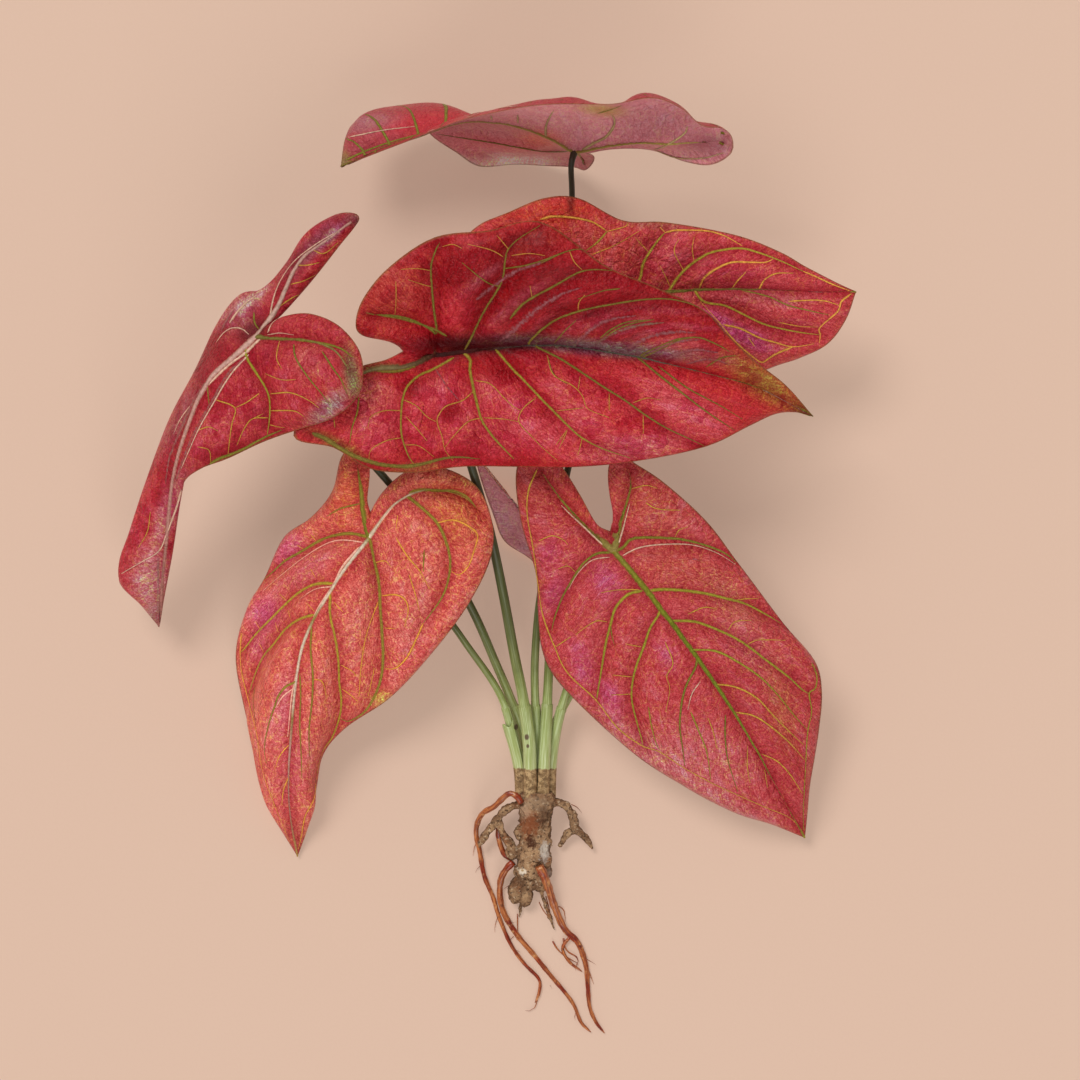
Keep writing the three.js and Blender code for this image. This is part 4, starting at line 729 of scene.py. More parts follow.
# strokes in the pale, mauve and stone inks are painted highlights and sheen on ribs and ridges, the pale
# partly the pale colour of the ribs
VEINS = {}
VEINS["lower_right"] = [
    ("olive", 1.7, 69.5, 14, 74.5, 18.5, 86.5, 19, 99.5, 18, 112.5, 14.5, 120.5, 11, 125.5, 7),
    ("gold", 0.6, 95.5, 19.5, 97.5, 23, 102, 24.5),
    ("pale", 1.5, 63, 12.8, 57, 17.5, 50, 24, 43, 30.5, 38.5, 35),
    ("pale", 1.3, 66.8, 14.5, 69.3, 22, 71.5, 30, 73, 36),
    ("pale", 1, 69.5, 10, 78.5, 14, 91.5, 15.5, 105, 15, 116.5, 11, 125.5, 5.5),
    ("lime", 1.7, 82, -7.5, 93, -7, 107.5, -8.5, 120.5, -11.5, 131, -14.5, 141.5, -20, 148, -24),
    ("gold", 0.6, 125.5, -12.5, 131, -11.5, 137, -11.5),
    ("lime", 1.5, 93, -22.5, 105, -23, 116.5, -27, 128.5, -33, 140, -41.5, 152, -50.5, 158.5, -56.5, 162.5,
     -59), ("gold", 0.6, 122, -27, 125.5, -23, 133.5, -22.5),
    ("gold", 0.6, 132, -34, 137.5, -32, 150.5, -32.5),
    ("lime", 1.2, 105, -37, 115, -37.5, 125.5, -42.5, 137.5, -50.5, 146.5, -59.5, 154.5, -69.5, 161, -76.5),
    ("gold", 1, 115, -54, 125.5, -55.5, 136, -61, 144, -69.5, 153, -78.5, 159.5, -84.5),
    ("gold", 1, 125.5, -68, 135, -70, 144, -76, 153, -84, 160.5, -92.5),
    ("gold", 0.8, 139, -89, 146.5, -92.5, 153, -99.5, 159, -109),
    ("lime", 0.9, 163.5, -43.5, 166, -50, 165.5, -56, 162.5, -59, 163.5, -68, 161.5, -78.5, 160.5, -95.5,
     159.5, -115.5, 159.5, -127),
    ("olive", 1.5, 63.5, 11.5, 56.5, 11, 50, 6.5, 44.5, -1.5, 39.5, -10.5, 35.5, -21, 34, -27.5),
    ("pale", 0.8, 63, 9, 54, 7.5, 47, 1, 42.5, -7),
    ("lime", 1.6, 79.5, -7.5, 72, -9.5, 66, -16, 63.5, -24, 61, -34, 59, -46, 57, -58, 56.5, -61.5),
    ("olive", 0.8, 63.5, -24, 64, -29, 65.5, -35),
    ("gold", 0.6, 61.5, -23, 56.5, -22.5, 51, -25.5, 46, -29.5), ("gold", 0.6, 77.5, -7, 67, -7, 58.5, -8.5),
    ("lime", 1.5, 87, -20, 83, -26.5, 80, -35.5, 76.5, -44.5, 74.5, -52.5, 74, -61.5, 76, -71, 78.5, -80, 80,
     -86), ("gold", 0.6, 78.5, -35.5, 71, -34), ("gold", 0.6, 74.5, -50.5, 64, -49.5),
    ("gold", 0.6, 74, -59, 64, -59.5), ("gold", 0.6, 90.5, -33, 94.5, -43.5, 91.5, -50, 93, -56.5, 91, -68),
    ("olive", 1.2, 105.5, -46, 101.5, -54, 99, -63, 98, -75, 99.5, -86.5, 100.5, -95),
    ("pale", 0.9, 108, -53, 104, -59, 102, -67),
    ("lime", 0.9, 103.5, -68, 107.5, -77.5, 111.5, -88, 113.5, -102),
    ("gold", 0.6, 112, -71, 114.5, -77.5, 116.5, -86.5),
    ("olive", 0.8, 120.5, -69.5, 120.5, -80, 122, -92, 127, -108),
    ("gold", 0.6, 131.5, -85, 131.5, -95.5, 133, -103.5), ("gold", 0.6, 140, -97, 141.5, -106),
    ("lime", 0.9, 82.5, -65.5, 84, -75, 86.5, -84, 88, -87),
    ("gold", 0.9, 26.5, 53.5, 22.5, 43, 22, 30, 25, 13, 27.5, -5.5, 30, -21, 35.5, -35.5, 42, -48.5, 56.5,
     -62.5, 67, -76, 78.5, -84.5, 88, -88, 99.5, -95.5, 114, -103.5, 127, -109.5, 141.5, -116, 152, -120.5,
     158.5, -126.5), ("gold", 0.6, 27.5, 17.5, 34, 20, 39.5, 18, 42, 15.5),
    ("gold", 0.6, 37, 3.5, 42, 5, 46, 1.5), ("gold", 0.6, 74, 43.5, 81, 45, 86.5, 43.5),
    ("gold", 0.7, 81, 36.5, 86.5, 33.5, 98, 32.5), ("gold", 0.6, 102, -19, 110, -16, 116.5, -17),
    ("gold", 0.6, 36, -35.5, 43.5, -30.5),
]
VEINS["lower_left"] = [
    ("pale", 1.4, -56, 20.5, -49.5, 29.5, -44, 36, -37, 41.5),
    ("olive", 2.2, -37.5, 41.5, -30.5, 43, -22.5, 42.5, -15.5, 42.5, -8.5, 39.5, -3.5, 33.5),
    ("olive", 1.8, -37.5, 39, -30.5, 33.5, -23.5, 26.5, -19, 17, -17, 7.5, -18, -2, -21, -10.5, -26.5, -18.5,
     -30.5, -23.5), ("gold", 1.2, -30.5, -23.5, -34.5, -32.5, -38.5, -40.5, -44, -46, -49.5, -46.5),
    ("gold", 1, -23.5, 26.5, -15.5, 28, -8.5, 25, -3.5, 20.5, -5, 13, -8, 4.5, -12.5, 0.5, -16, 2),
    ("gold", 0.8, -44, 19, -38.5, 10, -32, 2, -27.5, -6.5), ("gold", 0.6, -43, 30, -44, 22.5),
    ("gold", 0.7, -37.5, 0.5, -34.5, -9, -32.5, -17.5), ("olive", 0.9, -30, 13, -30.5, 2),
    ("olive", 2, -56.5, 15.5, -55, 7.5, -52.5, -3.5, -52, -14.5, -51, -28.5, -50.5, -42, -52, -53, -56,
     -62.5, -60.5, -68.5, -67.5, -72.5, -71.5, -71.5),
    ("gold", 0.9, -51, -10, -44, -9.5, -39.5, -12, -38, -17.5, -40, -25.5),
    ("gold", 0.6, -49.5, -26, -44, -26.5), ("gold", 0.7, -54, 6.5, -49.5, 7.5, -46.5, 4.5),
    ("lime", 1.4, -77, -11, -77, -20, -74.5, -31, -73, -42, -72.5, -53, -71.5, -62.5, -72.5, -71, -76, -80.5,
     -80, -86, -82.5, -92.5, -84.5, -103.5), ("gold", 0.7, -71.5, -44.5, -66, -47.5, -64, -50),
    ("gold", 0.9, -53, -13, -56.5, -21.5, -59.5, -31, -61.5, -44.5, -62.5, -60),
    ("gold", 0.7, -55, -46, -58, -60), ("gold", 0.7, -71, -56.5, -66, -60, -63.5, -62.5),
    ("olive", 1.1, -86, -25.5, -86.5, -36.5, -85.5, -50, -86, -62.5, -87.5, -76.5, -87.5, -90),
    ("gold", 0.7, -85.5, -51.5, -81, -53, -79, -61),
    ("olive", 0.9, -92, -49, -91.5, -60, -92, -73.5, -91.5, -86, -91, -101),
    ("gold", 0.6, -75, -13, -70.5, -18),
    ("pale", 1.6, -62, 14.5, -70.5, 4.5, -75, -4.5, -82.5, -16, -86.5, -25.5, -91, -36.5, -94.5, -53, -96,
     -60, -97, -69.5, -98, -80.5),
    ("olive", 1.9, -59, 19.5, -66, 21, -74.5, 20, -82.5, 17, -91, 12, -99, 7.5, -104.5, 2.5, -109.5, -2),
    ("pale", 0.9, -60.5, 16.5, -71.5, 17.5, -80, 15, -91, 8, -100.5, 0.5, -110, -7.5),
    ("gold", 0.6, -86.5, 20.5, -84, 17.5), ("gold", 0.6, -93.5, 15.5, -89.5, 13),
    ("gold", 0.6, -100.5, 9, -99, 6.5),
    ("lime", 1.7, -75, -4, -84, -4.5, -92, -8.5, -99, -14.5, -106, -21.5, -113, -28.5, -119.5, -36.5, -121.5,
     -38.5), ("pale", 0.9, -75, -5.5, -84, -7, -92, -12), ("gold", 0.6, -86.5, 3.5, -84, -1),
    ("gold", 0.6, -102, -9, -99, -12), ("gold", 0.6, -114, -23, -111.5, -27),
    ("lime", 1.6, -84.5, -19.5, -92, -22, -99, -27, -104.5, -34, -110, -40.5, -114, -49, -117.5, -60),
    ("gold", 0.6, -88, -14, -84.5, -18), ("gold", 0.6, -97.5, -17.5, -96.5, -21.5),
    ("gold", 0.6, -104, -23.5, -102.5, -28.5), ("gold", 0.6, -112, -34, -110, -38),
    ("olive", 1.2, -95, -53.5, -99, -55.5, -102.5, -60, -104.5, -65.5, -107.5, -75, -109.5, -86, -108.5,
     -94), ("pale", 1, -95.5, -56.5, -100.5, -60.5, -104, -66),
    ("gold", 0.7, -97.5, -84.5, -102, -90, -104, -95.5),
    ("gold", 0.7, -97, -99.5, -100, -106.5, -101, -114.5), ("olive", 0.9, -114, -55, -115, -64, -113.5, -75),
    ("olive", 0.9, -62, 36, -71.5, 33.5, -78.5, 29.5),
    ("gold", 0.9, -121, -28.5, -121.5, -39, -120.5, -50, -117, -64, -113, -80.5, -110.5, -97, -104.5, -114.5,
     -96.5, -134), ("gold", 0.9, -84.5, -103.5, -85.5, -112, -89.5, -120, -91.5, -130, -93, -136.5),
]
VEINS["center"] = [
    ("mauve", 3, 8, 117.5, 14, 122, 20, 127.5, 27, 133.5, 33, 137.5, 41, 141.5, 49, 144),
    ("mauve", 2.6, -4, 138, 2, 143, 9, 148, 16, 152, 24, 155, 33, 158),
    ("mauve", 2.2, 46, 116, 51, 121, 57, 125.5, 65, 128.5, 76, 130),
    ("stone", 2.2, 56, 116.5, 62, 120, 69, 123, 79, 125.5, 90, 126.5),
    ("mauve", 2.4, 71, 113.5, 78, 117.5, 86, 120.5, 96, 122, 106, 121.5),
    ("mauve", 1.8, 82, 111.5, 90, 115, 99, 117.5, 108, 118),
    ("mauve", 2, 91, 108.5, 98, 111.5, 107, 113, 117, 111.5),
    ("mauve", 1.6, 101, 106, 108, 108, 116, 108, 123, 105.5),
    ("olive", 0.9, 58, 119, 64, 123.5, 72, 127, 84, 128),
    ("olive", 1, 80, 111.5, 88, 115, 97, 118.5, 106, 119.5), ("olive", 0.7, 35, 116.5, 40, 122, 46, 127.5),
    ("olive", 2.6, -86, 71.5, -80, 69, -73, 64.5, -66, 60.5, -59, 57.8, -50, 55.6, -40, 54.8, -34, 55.4, -27,
     57, -20, 58.8, -12, 59.4, -2, 58.5),
    ("olive", 1.8, -18.5, 120, -24, 123, -32.5, 126, -41.5, 128.5, -51, 130, -59, 131.5),
    ("olive", 1.4, -23.5, 123, -25, 132.5, -26, 143.5, -26.5, 154.5, -24, 163, -22, 166.5),
    ("gold", 0.5, -26.5, 152.5, -33, 153.5, -41.5, 153), ("gold", 0.5, -26, 144.5, -30.5, 145.5, -38, 148),
    ("gold", 0.5, -20.5, 164.5, -15.5, 165.5, -11, 163.5), ("gold", 0.5, -44, 147, -44, 138, -44.5, 130.5),
    ("olive", 1.3, -6, 120, -2.5, 127.5, 1, 134, 6.5, 142.5, 9.5, 149, 10.5, 157, 12, 163, 17.5, 168.5, 28,
     175), ("gold", 0.6, 9.5, 159.5, 3, 163, -8, 165.5), ("gold", 0.6, 12, 163.5, 9.5, 166.5, 6.5, 170),
    ("olive", 0.8, 8.5, 144.5, 1, 147, -11, 156.5), ("gold", 0.5, 14, 160, 23, 161, 30.5, 160),
    ("olive", 0.8, 10, 153.5, 20.5, 155, 30.5, 158, 38, 161, 45.5, 163),
    ("olive", 1.3, 13, 128.5, 18.5, 135, 25, 139.5, 32.5, 143.5, 38.5, 146.8, 47, 151.5, 54.5, 153, 64,
     152.5), ("gold", 0.6, 24, 139.5, 23, 145),
    ("olive", 1.4, 23, 117.5, 28, 122.5, 34.5, 127.3, 41.5, 130.5, 52, 133.5, 65, 136, 78.5, 138, 91, 138.5,
     101.5, 136.5, 110, 133), ("gold", 0.6, 47, 133, 47.5, 137, 50.5, 140.5),
    ("olive", 0.9, 59.5, 119, 67, 123.5, 75.5, 126.5, 85, 128),
    ("olive", 1.1, 80.5, 110, 91, 115, 99.5, 118.5, 108, 119, 117.5, 115, 122.5, 112),
    ("olive", 0.8, 111, 104.5, 118.5, 109, 126, 110), ("olive", 0.7, 28, 156, 38.5, 161, 46, 163, 51, 162.5),
    ("gold", 0.6, 42.5, 162.5, 45, 157, 49, 153), ("olive", 0.7, 68, 143.5, 59.5, 142.5, 47, 138.5),
    ("olive", 2, -32.5, 106, -41.5, 102.5, -51, 102, -59, 104),
    ("lime", 1.4, -15, 109, -20, 106, -26, 102.8, -32.5, 100, -38, 95, -40.5, 89.5, -41.5, 81.5, -41.5, 72,
     -39.5, 64, -37, 58.5, -34, 55), ("gold", 0.6, -40.5, 88, -34, 85, -28.5, 79.5, -24, 77),
    ("gold", 0.6, -41.5, 82.5, -50, 82.5, -56.5, 79.5, -58, 74),
    ("gold", 0.6, -41.5, 69, -49, 67.5, -56.5, 63, -57.5, 56.5),
    ("gold", 0.6, -39.5, 65.5, -32.5, 65, -25, 59.5), ("gold", 0.6, -39, 79.5, -33, 73, -28.5, 67.5),
    ("lime", 0.9, -62.5, 89.5, -63.5, 81.5, -66, 74, -67, 66.5), ("gold", 0.7, -75, 78.5, -74.5, 74),
    ("lime", 1.7, -7, 108, -7, 102.5, -5.5, 94.5, -3.5, 86, -1, 77.5, 4.5, 69.5, 10.5, 63, 15, 58.5),
    ("gold", 0.7, -5.5, 92, -11, 87.5, -18.5, 85, -22, 81.5, -23.5, 77, -21, 69.5, -19.5, 63, -15.5, 57.5),
    ("gold", 0.6, -4.5, 97.5, 3, 96, 9.5, 89.5, 14, 85, 18.5, 82.5),
    ("gold", 0.6, -0.5, 79, -8, 77, -15.5, 69.5, -19.5, 64.5),
    ("mauve", 0.9, -24.5, 103.5, -18.5, 94.5, -12, 87),
    ("lime", 1.5, 7.5, 111, 14, 103.5, 21.5, 96, 29, 88, 35, 82, 42, 75, 49, 69, 59.5, 63.5, 73, 59),
    ("gold", 0.6, 26, 89, 19.5, 83.5, 17.5, 77, 24, 69.5, 30.5, 63, 37, 57.5),
    ("gold", 0.6, 0, 79, 9.5, 78.5, 17.5, 77), ("gold", 0.6, 41.5, 73, 36, 65.5),
    ("olive", 0.7, 31.5, 110, 34.5, 101, 41.5, 95.5),
    ("olive", 1.3, 27, 114, 38, 108.5, 49, 101.5, 59.5, 94.5, 70, 88, 80.5, 80.5, 91, 74, 101.5, 69, 111,
     64.5), ("gold", 0.6, 31.5, 110, 34.5, 100.5, 44, 95, 49, 90, 52, 83.5, 62.5, 79),
    ("gold", 0.6, 48, 99.5, 47, 93), ("gold", 0.6, 62.5, 91, 62.5, 82.5),
    ("gold", 0.6, 79.5, 80.5, 79.5, 71), ("gold", 0.6, 36.5, 82.5, 45, 83.5, 50, 84),
    ("gold", 0.6, 41.5, 72.5, 37.5, 63.5), ("gold", 0.6, 49, 68.5, 47, 60.5),
    ("olive", 1.1, 75.5, 110, 87, 100.5, 99.5, 91, 112, 81.5, 125, 73),
    ("gold", 0.6, 74.5, 86.5, 81.5, 89, 88, 88),
    ("olive", 0.8, 87, 104.5, 101.5, 94, 117.5, 85.5, 129, 78.5),
]
VEINS["upper_right"] = [
    ("gold", 1.2, 28, 178, 34.5, 179.5, 44, 179, 53.5, 177, 59.5, 173.5, 61.5, 172),
    ("gold", 0.8, 61.5, 172, 70, 174, 72, 176), ("lime", 1, 61.5, 172, 56.5, 166.5, 51, 162.5),
    ("lime", 1.6, 78, 149, 79.5, 156, 84, 163.5, 88, 169, 90.5, 171.5),
    ("gold", 1, 90.5, 171.5, 95.5, 172.5, 101.5, 172.5, 112, 172, 120.5, 169.5, 129, 165),
    ("gold", 0.6, 90.5, 171.5, 88, 174), ("gold", 0.6, 82, 162, 75.5, 169),
    ("gold", 0.6, 54, 160.5, 65, 165, 77.5, 172),
    ("lime", 1.6, 93, 143.5, 97.5, 150, 104, 156, 112, 161, 120.5, 163, 129, 163.5, 138.5, 161, 149, 157,
     159.5, 152), ("gold", 0.9, 159.5, 152, 172, 146.5, 182.5, 142.5),
    ("gold", 0.6, 99.5, 153, 95.5, 160.5, 95.5, 164.5, 97.5, 168),
    ("gold", 0.6, 105, 157, 104, 163.5, 105, 169), ("gold", 0.6, 93, 144.5, 90, 151, 88, 155),
    ("gold", 1.2, 107.5, 143.5, 110, 149, 116.5, 153.5, 124, 156.5, 133, 156.5, 140.5, 156.5, 145, 158.5),
    ("gold", 1, 124, 144, 127, 148, 131, 152), ("gold", 1.1, 138, 144.5, 140.5, 148.5, 146, 151, 154.5, 151),
    ("lime", 1.3, 110, 137, 120.5, 135, 129, 131, 139.5, 126, 149, 123.5, 159.5, 121.5, 168, 120.5),
    ("olive", 0.8, 129, 142.5, 141.5, 139.5, 152, 135, 162.5, 132.5, 172, 130.5),
    ("gold", 0.8, 152, 137, 168, 137.5, 177.5, 135),
    ("gold", 1, 119.5, 125.5, 128, 123.5, 137.5, 119, 146, 116.5, 154.5, 114.5, 165, 116),
    ("gold", 1.1, 183.5, 141, 178.5, 137, 176.5, 132, 168, 124.5, 168, 120.5, 167.5, 116.5),
    ("gold", 0.8, 147, 127, 157.5, 125, 167, 124.5),
    ("gold", 1.1, 154.5, 114.5, 147, 111.5, 142.5, 109, 139.5, 107, 136.5, 108, 129, 114, 122.5, 120.5,
     117.5, 126.5, 108, 137), ("gold", 0.7, 132, 119, 135, 115),
]
VEINS["left"] = [
    ("pale", 2.2, -111, 119, -119, 111.5, -127, 105.5, -134.5, 98.5, -141.5, 91, -148, 82.5),
    ("pale", 1, -146.5, 85, -151.5, 78, -155, 70.5),
    ("pale", 1.3, -117.5, 110.5, -124, 103.5, -130, 95, -136, 84.5, -142, 74, -147.5, 62, -152, 52),
    ("pale", 1.1, -133.5, 116.5, -130, 121, -126, 123.5, -121.5, 123.5, -118.5, 121.5),
    ("pale", 2.6, -127, 126, -123.5, 131, -119, 136, -113.5, 140),
    ("mauve", 2.2, -131, 122, -128, 128, -124.5, 133),
    ("pale", 1.4, -108, 121.5, -105.5, 126, -101.5, 129, -96.5, 130.5),
    ("mauve", 1.6, -147, 99, -143, 103.5, -139, 108),
    ("olive", 1.7, -137, 56, -132, 58.8, -126, 61, -120, 63.6, -114, 67, -108, 70, -101, 73),
    ("olive", 1.8, -107, 119, -94, 118, -80, 116, -71.5, 113.5, -65.5, 109),
    ("pale", 0.8, -108, 120.5, -102, 121.5, -95, 120.5),
    ("olive", 0.9, -95, 115.5, -94, 109, -88, 99.5, -81, 91, -77, 85.5),
    ("olive", 0.9, -81, 112, -75.5, 103.5, -71.5, 98, -68.5, 91),
    ("lime", 1.5, -118.5, 109, -113.5, 101, -109, 94, -107, 88, -107, 79.5, -108.5, 69),
    ("gold", 0.7, -106.5, 91, -96.5, 91.5, -88, 88, -82.5, 84),
    ("gold", 0.7, -106.5, 82.5, -95, 82.5, -89.5, 79.5),
    ("gold", 0.7, -108, 79, -116, 78.5, -120.5, 72.5, -123.5, 65.5), ("gold", 0.6, -107, 75.5, -99.5, 74),
    ("gold", 0.7, -134, 88, -124.5, 84, -126, 75.5, -127.5, 65.5, -128, 58.5),
    ("gold", 0.7, -112.5, 91, -119, 86.5, -124.5, 84), ("gold", 0.6, -143, 72.5, -137.5, 74.5, -133, 72.5),
    ("gold", 0.6, -143, 64.5, -137.5, 63, -136.5, 56), ("gold", 0.6, -116, 78.5, -110.5, 81),
    ("gold", 0.6, -102, 117.5, -103.5, 109, -101, 103.5), ("gold", 0.5, -109, 101, -101, 98, -94, 98),
    ("olive", 1, -138, 95, -137, 84),
    ("pale", 1.3, -107, 128, -105, 138.5, -101, 148, -94, 157.5, -82.5, 166.5, -68.5, 174.5),
    ("gold", 0.7, -94, 155, -88, 155, -82.5, 156.5), ("gold", 0.7, -102, 134.5, -95, 139.5, -89.5, 141.5),
    ("gold", 0.6, -96.5, 145.5, -91, 147, -84.5, 150.5), ("gold", 0.6, -85.5, 162.5, -80, 161, -73, 166.5),
    ("olive", 1.1, -115, 131.5, -114.5, 126, -111.5, 122),
    ("mauve", 2.6, -121, 111, -130.5, 105, -138.5, 96.5, -145.5, 85.5, -151.5, 72.5, -157, 58.5, -159, 46),
    ("mauve", 1.8, -119, 109, -127.5, 101, -136, 86.5, -144.5, 71.5, -150, 58.5, -155, 44.5),
    ("pale", 1.2, -151.5, 43, -154, 33.5, -158.5, 21, -162.5, 12.5, -171, 7, -181, 1),
    ("pale", 1, -124.5, 124, -120.5, 123, -117.5, 120.5), ("gold", 0.6, -166.5, 32, -168, 22, -172.5, 14),
    ("mauve", 1, -163, 9, -163, -6, -163, -20),
]
VEINS["top"] = [
    ("olive", 1.7, 43.5, 212.5, 30, 212.5, 17, 214.5, 6, 216.5, -10, 219, -23.5, 221),
    ("umber", 1.1, 31, 221.5, 31.5, 226.5, 35, 233.5), ("umber", 0.9, 17, 226.5, 17, 231),
    ("pale", 1.4, 14, 225, 14.5, 230.5), ("umber", 0.8, 4, 228, 3.5, 230.5),
    ("umber", 1.2, 50, 213.5, 55, 216.5, 61, 219.5, 65, 225, 65, 229, 63.5, 231),
    ("umber", 0.8, 85, 213, 94.5, 217, 100.5, 221.5, 102, 225),
    ("umber", 0.6, 85, 213.5, 97, 209, 110.5, 209, 120, 211.5),
    ("olive", 2.2, 57, 231.5, 63.5, 233.5, 69, 235.5),
    ("pale", 1.4, -28, 221.5, -14, 226.5, 3.5, 232.5, 17, 234.5),
    ("pale", 0.9, -67.5, 219, -50, 222.5, -33, 224.5),
    ("olive", 1.4, -69, 207.5, -58, 212.5, -45, 217, -30, 221),
]
VEINS["under"] = [
    ("mauve", 1.4, -2.5, 56.5, 4, 50, 10.5, 43.5),
]


# ---- Curves

def linear(hex_color):
    """The linear red, green and blue of a colour written as in a paint program."""
    channels = np.array([hex_color >> 16 & 255, hex_color >> 8 & 255, hex_color & 255]) / 255
    return np.where(channels <= 0.04045, channels / 12.92, ((channels + 0.055) / 1.055) ** 2.4)


def paint(hex_color):
    return (*linear(hex_color), 1.0)


def unit(vectors):
    return vectors / np.maximum(np.linalg.norm(vectors, axis=-1, keepdims=True), 1e-12)


def smooth_points(knots, numbers):
    """Points of a smooth curve through the knots: number 0 is the first knot, and 1 the second."""
    knots = np.asarray(knots, float)
    padded = np.vstack([2 * knots[0] - knots[1], knots, 2 * knots[-1] - knots[-2]])
    first = np.clip(np.floor(numbers).astype(int), 0, len(knots) - 2)
    before, start, end, after = (padded[first + k] for k in range(4))
    w = (np.asarray(numbers, float) - first)[:, None]
    from_start = (2 * w**3 - 3 * w**2 + 1) * start + (w**3 - 2 * w**2 + w) * (end - before) / 2
    to_end = (3 * w**2 - 2 * w**3) * end + (w**3 - w**2) * (after - start) / 2
    return from_start + to_end


class Curve:
    """A smooth curve through knots that is also read by the share of its length."""

    def __init__(self, knots):
        self.knots = np.asarray(knots, float)
        self.numbers = np.linspace(0, len(knots) - 1, CURVE_SAMPLES)
        steps = np.diff(smooth_points(self.knots, self.numbers), axis=0)
        self.lengths = np.concatenate([[0], np.cumsum(np.linalg.norm(steps, axis=1))])
        self.length = self.lengths[-1]

    def by_share(self, shares):
        numbers = np.interp(np.asarray(shares) * self.length, self.lengths, self.numbers)
        return smooth_points(self.knots, np.atleast_1d(numbers))

    def directions(self, shares):
        before, after = np.clip(np.atleast_1d(shares) + [[-1 / CURVE_SAMPLES], [1 / CURVE_SAMPLES]], 0, 1)
        return unit(self.by_share(after) - self.by_share(before))


def on_plan(points):
    """Where the camera sees the points, as X and Y on the plan."""
    scale = (EYE[2] - PLAN_HEIGHT) / (EYE[2] - points[:, 2:])
    return EYE[:2] + (points[:, :2] - EYE[:2]) * scale


# ---- Blades

def margin_of(shape, side):
    """The margin's curve, and where on the ribs the vein to each of its knots starts.

    Places run from -2 at the stalk along the lobe's vein to -1 at its end, back to 0 at the stalk, and along
    the midrib to 1 at the tip.
    """
    entries = shape[f"{side}_margin"]
    lobe_end = next(i for i, entry in enumerate(entries) if entry[3] == -1)
    knots = [shape["sinus"], *(entry[:3] for entry in entries), shape["midrib"][-1]]
    places = [-2 - entry[3] if i < lobe_end else entry[3] for i, entry in enumerate(entries)]
    return Curve(knots), np.array([-2, *places, 1])


def places_of_rows(places):
    """The places of the rows of points, several to each knot of the margin."""
    knots = np.arange(len(places))
    return np.interp(np.linspace(0, knots[-1], knots[-1] * ROWS_PER_VEIN + 1), knots, places)


def thinned(shares):
    """The shares in order, with 0 and 1, and none too close to the one before."""
    kept = [0.0]
    for share in np.sort(shares):
        if share - kept[-1] > CLOSEST_ROWS and share < 1 - CLOSEST_ROWS:
            kept.append(share)
    return np.array([*kept, 1.0])


def rows_of_side(shape, side, midrib, midrib_shares):
    """One side of a blade in rows from ribs to margin: points, arches, flow and distance to the rim."""
    margin, places = margin_of(shape, side)
    lobe_vein = Curve([shape["midrib"][0], *shape[f"{side}_lobe"]])
    wanted = places_of_rows(places)
    lobe = wanted[wanted <= 0]
    lobe_shares = thinned(np.where(lobe < -1, lobe + 2, -lobe))
    rows = np.concatenate([lobe_shares - 2, -lobe_shares[-2::-1], midrib_shares[1:]])
    numbers = np.interp(rows, places, np.arange(len(places)))
    on_lobe = rows < 0
    shares = np.where(on_lobe, np.where(rows < -1, rows + 2, -rows), rows)
    starts = np.where(on_lobe[:, None], lobe_vein.by_share(shares), midrib.by_share(shares))
    along = np.where(on_lobe[:, None], lobe_vein.directions(shares), midrib.directions(shares))
    ends = smooth_points(margin.knots, numbers)
    ends[-1] = starts[-1]
    widths = np.linalg.norm(ends - starts, axis=1)
    past_stalk = np.clip(shares / BOW_STARTS, 0, 1)
    before_end = np.where(on_lobe, np.clip((1 - shares) / BOW_ENDS, 0, 1), 1)
    bows = VEIN_SWEEP * widths * past_stalk * before_end
    handles = (starts + ends) / 2 - 2 * bows[:, None] * along
    t = np.linspace(0, 1, COLUMNS + 1)[None, :, None]
    points = (1 - t) ** 2 * starts[:, None] + 2 * t * (1 - t) * handles[:, None] + t**2 * ends[:, None]
    across = t[..., 0] * widths[:, None]
    off_sinus = np.clip((rows + 2) / SINUS_FADE, 0, 1)[:, None]
    arches = CAMBER * off_sinus * widths[:, None] * 4 * t[..., 0] * (1 - t[..., 0])
    flow = np.stack([np.broadcast_to(numbers[:, None], across.shape), across], axis=-1)
    return points, arches, flow, widths[:, None] - across


def grid_triangles(ids):
    """Two triangles for each cell of a grid of points."""
    a, b, c, d = (part.ravel() for part in (ids[:-1, :-1], ids[1:, :-1], ids[1:, 1:], ids[:-1, 1:]))
    return np.concatenate([np.stack([a, b, c], 1), np.stack([a, c, d], 1)])


def open_edges(triangles):
    edges = np.concatenate([triangles[:, [0, 1]], triangles[:, [1, 2]], triangles[:, [2, 0]]])
    known = set(map(tuple, edges.tolist()))
    return np.array([edge for edge in edges.tolist() if (edge[1], edge[0]) not in known])


def normals_of(points, triangles):
    first, second, third = (points[triangles[:, k]] for k in range(3))
    faces = np.cross(second - first, third - first)
    normals = np.zeros_like(points)
    for k in range(3):
        np.add.at(normals, triangles[:, k], faces)
    return unit(normals)


def eased(values, triangles, rounds, kept):
    """The values drawn towards their neighbours', round after round, but not at the kept points."""
    first = triangles[:, [0, 1, 2, 0, 1, 2]].ravel()
    second = triangles[:, [1, 2, 0, 2, 0, 1]].ravel()
    counts = np.bincount(first, minlength=len(values))[:, None]
    start = values
    for _ in range(rounds):
        sums = np.stack([np.bincount(first, column[second], len(values)) for column in values.T], 1)
        values = np.where(kept[:, None], start, (values + sums / counts) / 2)
    return values


def distances(plan, marks):
    """How far each point on the plan is from the nearest mark."""
    tree = KDTree(len(marks))
    for number, (x, y) in enumerate(marks):
        tree.insert((x, y, 0), number)
    tree.balance()
    return np.array([tree.find((x, y, 0))[2] for x, y in plan])


